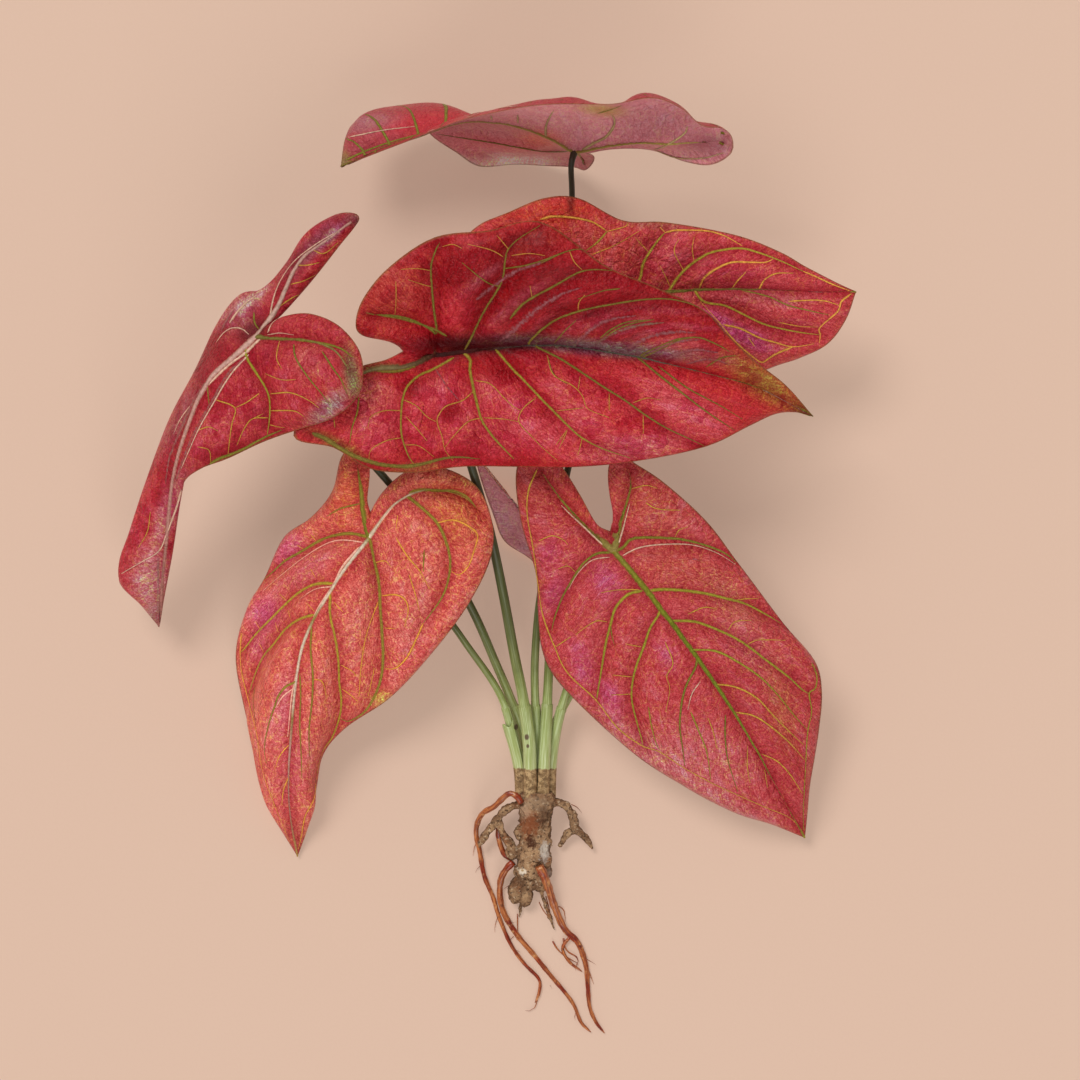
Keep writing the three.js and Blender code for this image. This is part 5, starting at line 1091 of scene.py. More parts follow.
class Sheet:
    """A blade's middle surface, and what its finish needs to know at each point of it."""

    def __init__(self, shape, veins):
        midrib = Curve(shape["midrib"])
        sides = ("left", "right")
        self.ribs = [midrib, *(Curve([shape["midrib"][0], *shape[f"{side}_lobe"]]) for side in sides)]
        places = np.concatenate([places_of_rows(margin_of(shape, side)[1]) for side in sides])
        midrib_shares = thinned(places[places > 0])
        corners, triangles, arches, flows, rims = [], [], [], [], []
        self.side_rows = []
        offset = 0
        for side in sides:
            points, arch, flow, rim = rows_of_side(shape, side, midrib, midrib_shares)
            numbers = flow[:, 0, 0]
            knots = range(1, int(numbers[-1]))
            self.side_rows += [points[np.abs(numbers - knot).argmin()] for knot in knots]
            ids = offset + np.arange(points.shape[0] * points.shape[1]).reshape(points.shape[:2])
            halves = grid_triangles(ids)
            triangles.append(halves if side == "left" else halves[:, ::-1])
            for kept, part in ((corners, points), (arches, arch), (flows, flow), (rims, rim)):
                kept.append(part.reshape(-1, *part.shape[2:]))
            offset += ids.size
        self.weld(np.concatenate(corners), np.concatenate(triangles), np.concatenate(flows))
        self.rim = np.concatenate(rims)[self.first]
        self.points += np.concatenate(arches)[self.first][:, None] * normals_of(self.points, self.triangles)
        self.quilt(veins)
        self.normals = normals_of(self.points, self.triangles)
        self.half = np.interp(self.rim, (0, THINNING), (EDGE_HALF_THICKNESS, HALF_THICKNESS))
        if "rests" in shape:
            lowest = (self.points - self.normals * self.half[:, None])[:, 2].min()
            self.points[:, 2] -= lowest
            for rib in self.ribs:
                rib.knots[:, 2] -= lowest
        self.tree = BVHTree.FromPolygons(self.points.tolist(), self.triangles.tolist(), all_triangles=True)

    def weld(self, loose, loose_triangles, loose_flow):
        """Makes points at one place one point, and drops the triangles that this closes up."""
        keys = np.round(loose / WELD).astype(np.int64)
        _, self.first, merged = np.unique(keys, axis=0, return_index=True, return_inverse=True)
        triangles = merged.reshape(-1)[loose_triangles]
        whole = (np.diff(np.sort(triangles, axis=1), axis=1) != 0).all(axis=1)
        self.triangles = triangles[whole]
        self.flow = loose_flow[loose_triangles[whole]]
        self.points = loose[self.first]

    def quilt(self, veins):
        """Swells the blade between its veins."""
        ribs = [on_plan(rib.by_share(np.linspace(0, 1, RIB_MARKS))) for rib in self.ribs]
        drawn = [
            (width, smooth_points(route, np.linspace(0, len(route) - 1, len(route) * MARKS_PER_KNOT)))
            for ink, width, route in veins if ink not in HIGHLIGHT_INKS
        ]
        main = ribs + [line for width, line in drawn if width >= MAIN_VEIN]
        plan = on_plan(self.points)
        away = distances(plan, np.concatenate(main))
        # nearness to the main veins: painted shade in the valleys, and painted sheen on the ridges away from
        # them
        self.valley = np.exp(-((away / VALLEY_SHADE_WIDTH) ** 2))
        self.ridge = 1 - np.exp(-((away / RIDGE_SHEEN_WIDTH) ** 2))
        swell = QUILT_HEIGHT * (1 - np.exp(-((away / QUILT_WIDTH) ** 2)))
        if drawn:
            away = distances(plan, np.concatenate([line for _, line in drawn]))
            swell += RUFFLE_HEIGHT * (1 - np.exp(-((away / RUFFLE_WIDTH) ** 2)))
        swell *= np.clip(self.rim / QUILT_RIM, 0, 1)
        edge = np.zeros(len(plan), bool)
        normals = normals_of(self.points, self.triangles)
        self.points += swell[:, None] * unit(eased(normals, self.triangles, EASED_NORMALS, edge))
        edge[open_edges(self.triangles).ravel()] = True
        self.points = eased(self.points, self.triangles, EASED_POINTS, edge)

    def nearest(self, at):
        """The sheet's nearest spot, and which way it faces there."""
        spot, _, face, _ = self.tree.find_nearest(at.tolist())
        return np.array(spot), unit(self.normals[self.triangles[face]].mean(axis=0))

    def seen(self, x, y):
        """The spot of the sheet that the camera sees at a place on the plan, or None beside the blade."""
        ray = unit(np.array([x, y, PLAN_HEIGHT]) - EYE)
        spot = self.tree.ray_cast(EYE.tolist(), ray.tolist())[0]
        return None if spot is None else np.array(spot)


def linked(name, data):
    """A new object of the data, in the scene."""
    piece = bpy.data.objects.new(name, data)
    bpy.context.scene.collection.objects.link(piece)
    return piece


class Skin:
    """A mesh in the making, with the blade finish's attributes at each point and its flow at each corner."""

    def __init__(self):
        self.points, self.triangles, self.flow = [], [], []
        self.values = {name: [] for name in ("vein", "rim", "valley", "ridge", "ink", "tint")}
        self.count = 0

    def add(self, points, triangles, flow, **values):
        self.points.append(points)
        self.triangles.append(np.asarray(triangles) + self.count)
        self.flow.append(flow)
        for name, kept in self.values.items():
            shape = (len(points), 3) if name in ("ink", "tint") else (len(points),)
            kept.append(np.broadcast_to(values[name], shape))
        self.count += len(points)

    def build(self, name):
        points = np.concatenate(self.points) * MM
        triangles = np.concatenate(self.triangles)
        mesh = bpy.data.meshes.new(name)
        mesh.vertices.add(len(points))
        mesh.vertices.foreach_set("co", points.ravel())
        mesh.loops.add(triangles.size)
        mesh.loops.foreach_set("vertex_index", triangles.ravel())
        mesh.polygons.add(len(triangles))
        mesh.polygons.foreach_set("loop_start", np.arange(0, triangles.size, 3))
        mesh.polygons.foreach_set("use_smooth", np.ones(len(triangles), bool))
        mesh.update(calc_edges=True)
        flow = mesh.uv_layers.new(name="flow")
        flow.uv.foreach_set("vector", np.concatenate(self.flow).ravel())
        for name_of_value, kept in self.values.items():
            values = np.concatenate(kept)
            if values.ndim == 2:
                layer = mesh.attributes.new(name_of_value, "FLOAT_COLOR", "POINT")
                layer.data.foreach_set("color", np.hstack([values, np.ones((len(values), 1))]).ravel())
            else:
                layer = mesh.attributes.new(name_of_value, "FLOAT", "POINT")
                layer.data.foreach_set("value", values.astype(float).ravel())
        return linked(name, mesh)


def tint_at(points, main, patches):
    """The blade's colour where each point shows on the plan: its main colour, with patches laid over it."""
    plan = on_plan(points)
    colors = np.tile(linear(main), (len(points), 1))
    for x, y, long, wide, turn, strength, color in patches:
        away = plan - (x, y)
        cos, sin = math.cos(math.radians(turn)), math.sin(math.radians(turn))
        off = (away @ (cos, sin) / long) ** 2 + (away @ (-sin, cos) / wide) ** 2
        colors += (linear(color) - colors) * strength * np.exp(-(off**PATCH_EDGE))[:, None]
    return colors


def face_tint(points, look, side):
    if side > 0:
        return tint_at(points, look["main"], look["patches"]) * look["gain"]
    return tint_at(points, look["under"], look.get("under_patches", [])) * look.get("under_gain", UNDER_GAIN)


def ink_along(stops, shares):
    """The colour at each share of a rib's length, between the colours at its stops."""
    colors = np.array([linear(color) for _, color in stops])
    return np.stack([np.interp(shares, [share for share, _ in stops], channel) for channel in colors.T], 1)


class Blade:
    """A leaf's blade, with its faces, rim, ribs and veins in one mesh. Side 1 is above and -1 below."""

    def __init__(self, place):
        self.look = LOOKS[place]
        veins = [(ink, width, np.reshape(route, (-1, 2))) for ink, width, *route in VEINS[place]]
        self.sheet = Sheet(LEAVES[place], veins)
        self.skin = Skin()
        self.add_faces()
        self.add_ribs()
        for route, shares in self.side_routes():
            ink = ink_along([(0, INKS[self.look["side_veins"]])], shares)
            half_widths = SIDE_VEIN_WIDTH / 2 * (1 - SIDE_VEIN_THINS * shares)
            self.add_vein(route, half_widths, 1, VEIN_RISE * (1 - shares), ink)
        for vein in veins:
            self.add_drawn(*vein)
        self.piece = self.skin.build(f"{place}_leaf")

    def add_faces(self):
        sheet = self.sheet
        for side in (1, -1):
            self.skin.add(
                sheet.points + side * sheet.normals * sheet.half[:, None], sheet.triangles[:, ::side],
                sheet.flow[:, ::side], vein=0, rim=sheet.rim, ink=0, valley=sheet.valley, ridge=sheet.ridge,
                tint=face_tint(sheet.points, self.look, side),
            )
        below = len(sheet.points)
        wall = [
            corners for a, b in open_edges(sheet.triangles)
            for corners in ([b, a, a + below], [b, a + below, b + below])
        ]
        self.skin.triangles.append(np.array(wall))
        self.skin.flow.append(np.zeros((len(wall), 3, 2)))

    def add_vein(self, spots, half_widths, side, lift, ink, profile=PROFILE, strength=1.0):
        """A vein that stands out of one face of the sheet along the spots."""
        steps = np.concatenate([[0], np.cumsum(np.linalg.norm(np.diff(spots, axis=0), axis=1))])
        onward = unit(np.gradient(spots, axis=0))
        points = []
        for spot, forward, half_width, height in zip(spots, onward, half_widths, lift):
            _, normal = self.sheet.nearest(spot)
            across = unit(np.cross(normal, forward))
            for place in profile:
                base, upward = self.sheet.nearest(spot + across * half_width * place)
                rise = height * (1 - place**2) - VEIN_SUNK * place**2
                points.append(base + upward * side * (HALF_THICKNESS + rise))
        points = np.array(points)
        width = len(profile)
        triangles = grid_triangles(np.arange(len(points)).reshape(-1, width))[:, ::-side]
        places = np.tile(profile, len(spots))
        flow = np.stack([places, np.repeat(steps, width)], 1)
        self.skin.add(
            points, triangles, flow[triangles], vein=strength * (1 - np.abs(places)), rim=RIM_FAR, valley=0,
            ridge=0, ink=np.repeat(ink, width, axis=0), tint=face_tint(points, self.look, side),
        )

    def add_ribs(self):
        look = self.look
        ribs = zip(self.sheet.ribs, RIB_WIDTHS, look["ribs"], look.get("rib_shares", (1, 1, 1)))
        for rib, (start, end), stops, wider in ribs:
            shares = np.linspace(0, 1, round(rib.length / RIB_STEP))
            spots = rib.by_share(shares)
            half_widths = (start + (end - start) * shares) / 2 * wider
            rise, drop = RIB_RISE * (1 - shares * RIB_RISE_LOST), RIB_DROP * (1 - shares * RIB_DROP_LOST)
            under = ink_along([(0, look["rib_under"])], shares)
            self.add_vein(spots, half_widths, 1, rise, ink_along(stops, shares), WIDE_PROFILE)
            self.add_vein(spots, half_widths * RIB_SWELL, -1, drop, under, WIDE_PROFILE)

    def side_routes(self):
        """Veins straight from the ribs to the margin, on a face that the camera doesn't see."""
        if "side_veins" in self.look:
            for row in self.sheet.side_rows:
                spots = row[:-SIDE_VEIN_END]
                yield spots, np.linspace(0, 1, len(spots))

    def add_drawn(self, ink, width, route):
        """A vein that is drawn on the plan. A stroke of painted highlight or sheen is above only."""
        # strokes of painted highlight and sheen are drawn on the upper face only
        painted_highlight = ink in HIGHLIGHT_INKS
        if width >= 1 and not painted_highlight:
            route = self.from_rib(route)
        strength = RIDGE_SHEEN_SHARE if ink in SOFT_SHEEN_INKS else 1.0
        for spots in self.stretches(route):
            shares = np.linspace(0, 1, len(spots))
            taper = TAPER_ROUND * np.sqrt(1 - shares**3) + (1 - TAPER_ROUND) * (1 - shares)
            taper *= np.sqrt(np.clip(shares * len(spots) / TAPER_START, TAPER_LEAST, 1))
            half_widths = np.maximum(width / 2 * taper * WIDER.get(ink, VEIN_WIDER), VEIN_THINNEST)
            color = ink_along([(0, INKS[ink])], shares) * self.look.get("ink_gain", 1)
            self.add_vein(spots, half_widths, 1, VEIN_RISE * taper, color, strength=strength)
            if not painted_highlight:
                self.add_vein(spots, half_widths * VEIN_NARROWER, -1, VEIN_DROP * taper, color)

    def from_rib(self, route):
        """The route, led from the rib that it starts beside."""
        nearest = None
        for rib in self.sheet.ribs:
            marks = on_plan(rib.by_share(np.linspace(0, 1, RIB_MARKS)))
            away = np.linalg.norm(marks - route[0], axis=1)
            if nearest is None or away.min() < nearest:
                nearest = away.min()
                back = nearest * JOIN_BACK / (rib.length / RIB_MARKS)
                mark = marks[max(0, round(away.argmin() - back))]
        straight = unit(route[0] - mark) @ unit(route[1] - route[0]) > JOIN_TURN
        return np.vstack([mark, route]) if JOIN_NEAR < nearest < JOIN_FAR and straight else route

    def stretches(self, route):
        """The spots of a route laid on the sheet, in stretches without a jump."""
        length = np.linalg.norm(np.diff(route, axis=0), axis=1).sum()
        numbers = np.linspace(0, len(route) - 1, max(VEIN_FEWEST, round(length / VEIN_STEP)))
        stretches = [[]]
        for x, y in smooth_points(route, numbers):
            spot = self.sheet.seen(x, y)
            last = stretches[-1]
            if spot is None or (last and np.linalg.norm(spot - last[-1]) > VEIN_JUMP):
                stretches.append([])
            if spot is not None:
                stretches[-1].append(spot)
        return [np.array(stretch) for stretch in stretches if len(stretch) >= VEIN_FEWEST]


# ---- Materials

class Nodes:
    """The nodes of a finish or of the room, added by kind and wired by name."""

    def __init__(self, owner):
        self.owner = owner
        owner.use_nodes = True
        self.tree = owner.node_tree

    def add(self, kind, inputs=(), **settings):
        node = self.tree.nodes.new("ShaderNode" + kind)
        for name, value in settings.items():
            setattr(node, name, value)
        for name, value in dict(inputs).items():
            self.wire(node.inputs[name], value)
        return node

    def wire(self, socket, value):
        """Sets a socket to a value or a colour, or links it to what a node gives."""
        if isinstance(value, bpy.types.NodeSocket):
            self.tree.links.new(value, socket)
        elif socket.type == "RGBA" and isinstance(value, int):
            socket.default_value = paint(value)
        else:
            socket.default_value = value

    def math(self, operation, *values):
        return self.add("Math", dict(enumerate(values)), operation=operation).outputs[0]

    def plus(self, first, second):
        return self.math("ADD", first, second)

    def times(self, first, second):
        return self.math("MULTIPLY", first, second)

    def swing(self, noise, reach):
        """The noise as a number about 0, up to reach either way."""
        return self.math("MULTIPLY_ADD", noise, 2 * reach, -reach)

    def vectors(self, operation, first, second=(0, 0, 0)):
        node = self.add("VectorMath", {0: first, 1: second}, operation=operation)
        return node.outputs["Value" if operation in ("DISTANCE", "LENGTH", "DOT_PRODUCT") else "Vector"]

    def scaled(self, vector, factors):
        return self.vectors("MULTIPLY", vector, factors)

    def step(self, value, start, full, at_start=0.0, at_full=1.0, kind="SMOOTHSTEP"):
        """A step from one number to the other as the value goes from start to full, upwards or downwards."""
        if start > full:
            start, full, at_start, at_full = full, start, at_full, at_start
        inputs = {"Value": value, "From Min": start, "From Max": full, "To Min": at_start, "To Max": at_full}
        return self.add("MapRange", inputs, interpolation_type=kind).outputs["Result"]

    def mix(self, share, first, second, blend="MIX"):
        node = self.add("Mix", data_type="RGBA", blend_type=blend)
        sockets = {socket.identifier: socket for socket in (*node.inputs, *node.outputs)}
        for name, value in (("Factor_Float", share), ("A_Color", first), ("B_Color", second)):
            self.wire(sockets[name], value)
        return sockets["Result_Color"]

    def tinted(self, color, factors):
        return self.mix(1.0, color, factors, "MULTIPLY")

    def over(self, color, share, strength, second):
        """The second colour laid over the first where the share and the strength say."""
        return self.mix(self.times(share, strength), color, second)

    def object_place(self):
        return self.add("TexCoord").outputs["Object"]

    def attribute(self, name, output="Fac"):
        return self.add("Attribute", attribute_name=name).outputs[output]

    def noise(self, vector, scale, detail=2.0, roughness=0.5, output="Fac"):
        inputs = {"Vector": vector, "Scale": scale, "Detail": detail, "Roughness": roughness}
        return self.add("TexNoise", inputs).outputs[output]

    def speckled(self, color, place, speckles):
        for scale, detail, roughness, start, full, strength, second in speckles:
            share = self.step(self.noise(place, scale, detail, roughness), start, full)
            color = self.over(color, share, strength, second)
        return color

    def bump(self, height, distance, strength=1.0):
        inputs = {"Height": height, "Distance": distance, "Strength": strength}
        return self.add("Bump", inputs).outputs["Normal"]

    def finish(self, shader="Principled BSDF", **sockets):
        for name, value in sockets.items():
            self.wire(self.tree.nodes[shader].inputs[name.replace("_", " ")], value)
        return self.owner


def leaf_material(name, strength, cell_strength):
    """Thin fleshy leaf: blotches, lines along the veins, a net and veinlets, painted shade in the valleys
    and painted sheen on the ridges, and drawn veins over all, with painted shade at their edges.
    """
    n = Nodes(bpy.data.materials.new(name))
    place = n.object_place()
    flow = n.add("UVMap", uv_map="flow").outputs["UV"]
    vein = n.attribute("vein")
    bent = n.vectors("ADD", place, n.scaled(n.noise(place, *WARP_NOISE, output="Color"), WARP))
    texture = {kind: n.noise(place, *numbers) for kind, numbers in LEAF_NOISE.items()}
    for kind, (scales, detail) in LEAF_FLOW.items():
        texture[kind] = n.noise(n.scaled(flow, scales), 1.0, detail, FLOW_ROUGHNESS)
    for kind, scale in LEAF_CELLS.items():
        cells = n.add("TexVoronoi", {"Vector": bent, "Scale": scale}, feature="DISTANCE_TO_EDGE")
        texture[kind] = cells.outputs["Distance"]
    # the ridges away from the main veins, where the painted sheen goes
    keeps_to = {"ridge": n.attribute("ridge"), "mottled": n.step(texture["mottle"], *MOTTLED_EDGE)}

    def layer(color, share, most, factors):
        return n.over(color, share, most * strength, n.tinted(color, factors))

    cells = n.add("TexVoronoi", {"Vector": bent, **BLOTCH_CELLS}, feature="SMOOTH_F1")
    red = n.add("SeparateColor", {0: cells.outputs["Color"]}).outputs[0]
    color = layer(n.attribute("tint", "Color"), n.step(red, *BLOTCH_EDGE), cell_strength, CRIMSON)
    for kind, start, full, most, factors, *limits in LEAF_LAYERS:
        share = n.step(texture[kind], start, full)
        for limit in limits:
            share = n.times(share, keeps_to[limit])
        color = layer(color, share, most, factors)
    # painted shade in the valleys by the main veins, partly the deeper red that the leaf has there
    color = layer(color, n.attribute("valley"), VALLEY_SHADE_STRENGTH, DEEP)
    # painted shade at the edges of a vein and painted light along its middle
    shading = n.mix(n.step(vein, *VEIN_SHADING), VEIN_SHADED_EDGE, VEIN_LIT_MIDDLE)
    shade = n.tinted(n.attribute("ink", "Color"), shading)
    shade = n.mix(n.step(texture["wear"], *VEIN_WEAR), n.tinted(shade, VEIN_WORN), shade)
    drawn = n.step(n.plus(vein, n.swing(texture["wear"], VEIN_RAGGED)), *VEIN_SHOWS)
    color = n.mix(n.times(drawn, n.step(vein, *VEIN_LIMIT)), color, shade)
    color = n.over(color, n.step(n.attribute("rim"), *RIM_EDGE), RIM_STRENGTH, RIM_COLOR)
    for kind in LEAF_CELLS:
        texture[kind] = n.step(texture[kind], 0.0, PUCKER_EDGE)
    first, *others = (n.times(texture[kind], share) for kind, share in LEAF_RELIEF.items())
    height = first
    for other in others:
        height = n.plus(height, other)
    return n.finish(
        Base_Color=color, Roughness=0.34, Coat_Weight=0.04, Coat_Roughness=0.25, Specular_IOR_Level=0.13,
        Normal=n.bump(height, *LEAF_BUMP),
    )


def stalk_material():
    """Leaf stalks: pale green sheaths, brown with soil at the foot, and darker green up to the blades."""
    n = Nodes(bpy.data.materials.new("caladium_stalk"))
    place = n.object_place()
    straight = n.attribute("straight", "Vector")
    height = n.add("SeparateXYZ", {0: place}).outputs["Y"]
    wander = n.plus(height, n.swing(n.noise(straight, *STALK_NOISE), STALK_WANDER * MM))
    low, high = STALK_RAMP
    ramp = n.add("ValToRGB", {"Fac": n.step(wander, low * MM, high * MM, kind="LINEAR")})
    stops = ramp.color_ramp.elements
    while len(stops) < len(STALK_COLORS):
        stops.new(0.5)
    for stop, (y, color) in zip(stops, STALK_COLORS):
        stop.position = (y - low) / (high - low)
        stop.color = paint(color)
    green = ramp.outputs["Color"]
    lines = n.noise(n.scaled(straight, STALK_GRAIN), 1.0, 2)
    color = n.mix(n.step(lines, *STALK_LINES), n.tinted(green, STALK_LINE_COLOR), green)
    edge = n.plus(height, n.swing(n.noise(place, *SOIL_EDGE_NOISE), SOIL_WANDER * MM))
    soil = n.step(edge, (SOIL_LINE + SOIL_EDGE) * MM, SOIL_LINE * MM)
    soil_color = n.mix(n.step(n.noise(place, *SOIL_NOISE), *SOIL_EDGES), *SOIL_TONES)
    color = n.over(color, soil, SOIL_COVER, soil_color)
    grains = n.step(n.noise(place, *GRAIN_NOISE), *GRAIN_EDGES)
    color = n.over(color, grains, n.times(soil, GRAIN_STRENGTH), GRAIN_COLOR)
    flat = n.scaled(place, (1, SCAR_SHAPE, 0))
    for x, y, size in SCARS:
        away = n.vectors("DISTANCE", flat, (x * MM, y * MM * SCAR_SHAPE, 0))
        color = n.over(color, n.step(away, size * MM, size / 2 * MM), SCAR_STRENGTH, SCAR_COLOR)
    bumps = n.plus(n.times(lines, LINE_RELIEF), n.times(n.times(soil, grains), GRAIN_RELIEF))
    return n.finish(
        Base_Color=color, Roughness=n.step(soil, 0, 1, CLEAN_ROUGHNESS, SOILED_ROUGHNESS),
        Specular_IOR_Level=0.4, Normal=n.bump(bumps, *STALK_BUMP),
    )


def soil_material():
    """Rough tan rhizome flecked with soil, with rusty, pale and dark stains, and painted shade where its
    skin faces sideways or down.
    """
    n = Nodes(bpy.data.materials.new("rhizome_skin"))
    place = n.object_place()
    color = n.mix(n.step(n.noise(place, *RHIZOME_NOISE), *RHIZOME_EDGES), *RHIZOME_TONES)
    color = n.speckled(color, place, SOIL_SPECKLES)
    ragged = n.swing(n.noise(place, *STAIN_NOISE), STAIN_RAGGED)
    for x, y, wide, long, strength, stain_color in SOIL_STAINS:
        off = n.vectors("SUBTRACT", place, (x * MM, y * MM, 0))
        away = n.vectors("LENGTH", n.scaled(off, (1 / wide / MM, 1 / long / MM, 0)))
        color = n.over(color, n.step(n.plus(away, ragged), *STAIN_EDGE), strength, stain_color)
    # painted shade where the skin faces sideways or down
    upward = n.add("SeparateXYZ", {0: n.add("TexCoord").outputs["Normal"]}).outputs["Z"]
    color = n.mix(n.step(upward, *RHIZOME_LOW_SHADE), color, n.tinted(color, RHIZOME_SHADE_COLOR))
    bumps = n.bump(n.noise(place, *RHIZOME_CRUMBS), RHIZOME_BUMP)
    return n.finish(Base_Color=color, Roughness=0.88, Specular_IOR_Level=0.2, Normal=bumps)


def root_material():
    """Orange-brown roots with a wet shine, wrinkled lengthwise, darker at their knots."""
    n = Nodes(bpy.data.materials.new("orange_root"))
    place = n.object_place()
    lines = n.noise(n.scaled(n.attribute("straight", "Vector"), ROOT_GRAIN), 1.0, 3, 0.6)
    color = n.mix(n.step(lines, *ROOT_LINES), *ROOT_TONES)
    blush = n.step(n.noise(place, *BLUSH_NOISE), *BLUSH_EDGES)
    color = n.mix(blush, color, n.tinted(color, BLUSH_COLOR))
    color = n.speckled(color, place, ROOT_SPECKLES)
    wrinkles = n.times(n.noise(place, *WRINKLES), WRINKLE_RELIEF)
    bumps = n.bump(n.plus(lines, wrinkles), *ROOT_BUMP)
    return n.finish(
        Base_Color=color, Roughness=0.38, Coat_Weight=0.25, Coat_Roughness=0.2, Specular_IOR_Level=0.5,
        Normal=bumps,
    )


# ---- Stalks, rhizome and roots: extruded straight, then bent along their routes

def select(*pieces):
    """Selects these pieces and nothing else."""
    bpy.ops.object.select_all(action="DESELECT")
    for piece in pieces:
        piece.select_set(True)
        bpy.context.view_layer.objects.active = pieces[0]


@contextmanager
def edit_all():
    """Edit mode, with the whole mesh selected."""
    bpy.ops.object.mode_set(mode="EDIT")
    bpy.ops.mesh.select_all(action="SELECT")
    yield
    bpy.ops.object.mode_set(mode="OBJECT")


def apply_modifiers(piece):
    select(piece)
    for modifier in list(piece.modifiers):
        bpy.ops.object.modifier_apply(modifier=modifier.name)


def joined(pieces, name):
    select(*pieces)
    if len(pieces) > 1:
        bpy.ops.object.join()
    pieces[0].name = name
    return pieces[0]


def remember_straight(mesh, places):
    """Keeps each point's place while a piece is straight, for the stripes of its finish."""
    layer = mesh.attributes.new("straight", "FLOAT_VECTOR", "POINT")
    layer.data.foreach_set("vector", places)


def stem(name, curve, rings, sides):
    """A closed stem through rings of (height, radius), made straight and bent along the curve."""
    select()
    bpy.ops.mesh.primitive_circle_add(
        vertices=sides, radius=rings[0][1] * MM, fill_type="NGON", location=(0, 0, 0),
    )
    piece = bpy.context.object
    piece.name = name
    with edit_all():
        for (low, thin), (high, thick) in zip(rings, rings[1:]):
            bpy.ops.mesh.extrude_region_move(TRANSFORM_OT_translate={"value": (0, 0, (high - low) * MM)})
            wider = thick / thin
            bpy.ops.transform.resize(value=(wider, wider, 1), center_override=(0, 0, high * MM))
        bpy.ops.mesh.select_all(action="SELECT")
        bpy.ops.mesh.normals_make_consistent(inside=False)
    bpy.ops.object.shade_smooth()
    straight = np.empty(len(piece.data.vertices) * 3)
    piece.data.vertices.foreach_get("co", straight)
    remember_straight(piece.data, straight)
    bend(piece, curve.by_share(np.linspace(0, 1, ROUTE_POINTS)))
    return piece


def bend(piece, points):
    """Bends a straight stem along a route of points."""
    path_data = bpy.data.curves.new("route", "CURVE")
    path_data.dimensions = "3D"
    spline = path_data.splines.new("POLY")
    spline.points.add(len(points) - 1)
    spline.points.foreach_set("co", np.hstack([points * MM, np.ones((len(points), 1))]).ravel())
    path = linked("route", path_data)
    modifier = piece.modifiers.new("bend", "CURVE")
    modifier.object = path
    modifier.deform_axis = "POS_Z"
    apply_modifiers(piece)
    bpy.data.objects.remove(path)
    bpy.data.curves.remove(path_data)


def stalk_curve(place, sheet):
    """A stalk's route, which runs on into the underside of its blade."""
    spot, normal = sheet.nearest(sheet.ribs[0].knots[0])
    return Curve([*STALKS[place][1], spot - normal * STALK_KNEE, spot - normal * STALK_SUNK])


def stalk_radius(place, length, height):
    foot, neck, top = STALKS[place][0]
    lip = neck * SHEATH_LIP
    if height < SHEATH_LENGTH:
        return foot + (lip - foot) * height / SHEATH_LENGTH
    past = min(1.0, (height - SHEATH_LENGTH) / LIP_LENGTH)
    upper = (height - SHEATH_LENGTH) / (length - SHEATH_LENGTH)
    slim = lip * LIP_EDGE + (neck - lip * LIP_EDGE) * past
    return slim + (top - slim) * upper


def make_stalk(place, sheet):
    curve = stalk_curve(place, sheet)
    last_even, *end = STALK_END
    heights = [*np.arange(0, SHEATH_LENGTH, SHEATH_STEP), *(SHEATH_LENGTH + past for past in LIP_RINGS)]
    heights += [*np.arange(SHEATH_LENGTH + LIP_CLEAR, curve.length - last_even, STALK_STEP)]
    heights += [curve.length - short for short in end]
    rings = []
    for height in heights:
        knot = KNOT_SWELL * max(0, 1 - (curve.length - height) / KNOT_LENGTH)
        rings.append((height, stalk_radius(place, curve.length, height) * (1 + knot)))
    return stem(f"{place}_stalk", curve, rings, STALK_SIDES)


def make_torn_sheath(sheet):
    """A sheath torn open beside its stalk: a thin curled strip with a ragged end."""
    torn = TORN_SHEATH
    curve = stalk_curve(torn["beside"], sheet)
    points, straight, faces = [], [], []
    for row in range(SHEATH_ROWS + 1):
        for column in range(SHEATH_COLUMNS + 1):
            across = column / SHEATH_COLUMNS
            top = 1 - torn["slope"] * across - torn["wave_height"] * math.sin(torn["wave"] * across)
            rise = top * row / SHEATH_ROWS
            share = rise * torn["height"] / curve.length
            along = curve.directions(share)[0]
            left = unit(np.array([-1.0, 0, 0]) + along * along[0])
            angle = torn["from"] + (torn["to"] - torn["from"]) * across
            outward = left * math.cos(angle) + np.cross(left, along) * math.sin(angle)
            inside = stalk_radius(torn["beside"], curve.length, share * curve.length) * torn["easing"]
            clear = inside + SEAT_GAP + torn["flare"] * rise**2
            points.append((curve.by_share(share)[0] + outward * clear) * MM)
            straight.append((column * SHEATH_GRAIN[0] * MM, 0, row * SHEATH_GRAIN[1] * MM))
            if row and column:
                here = len(points) - 1
                below = here - SHEATH_COLUMNS - 1
                faces.append((below - 1, below, here, here - 1))
    mesh = bpy.data.meshes.new("torn_sheath_wall")
    mesh.from_pydata(points, [], faces)
    remember_straight(mesh, np.array(straight).ravel())
    piece = linked("sheath_torn_open", mesh)
    wall = piece.modifiers.new("wall", "SOLIDIFY")
    wall.thickness = torn["wall"] * MM
    wall.offset = WALL_OUTWARD
    round_off = piece.modifiers.new("round_off", "SUBSURF")
    round_off.levels = round_off.render_levels = 1
    apply_modifiers(piece)
    bpy.ops.object.shade_smooth()
    return piece


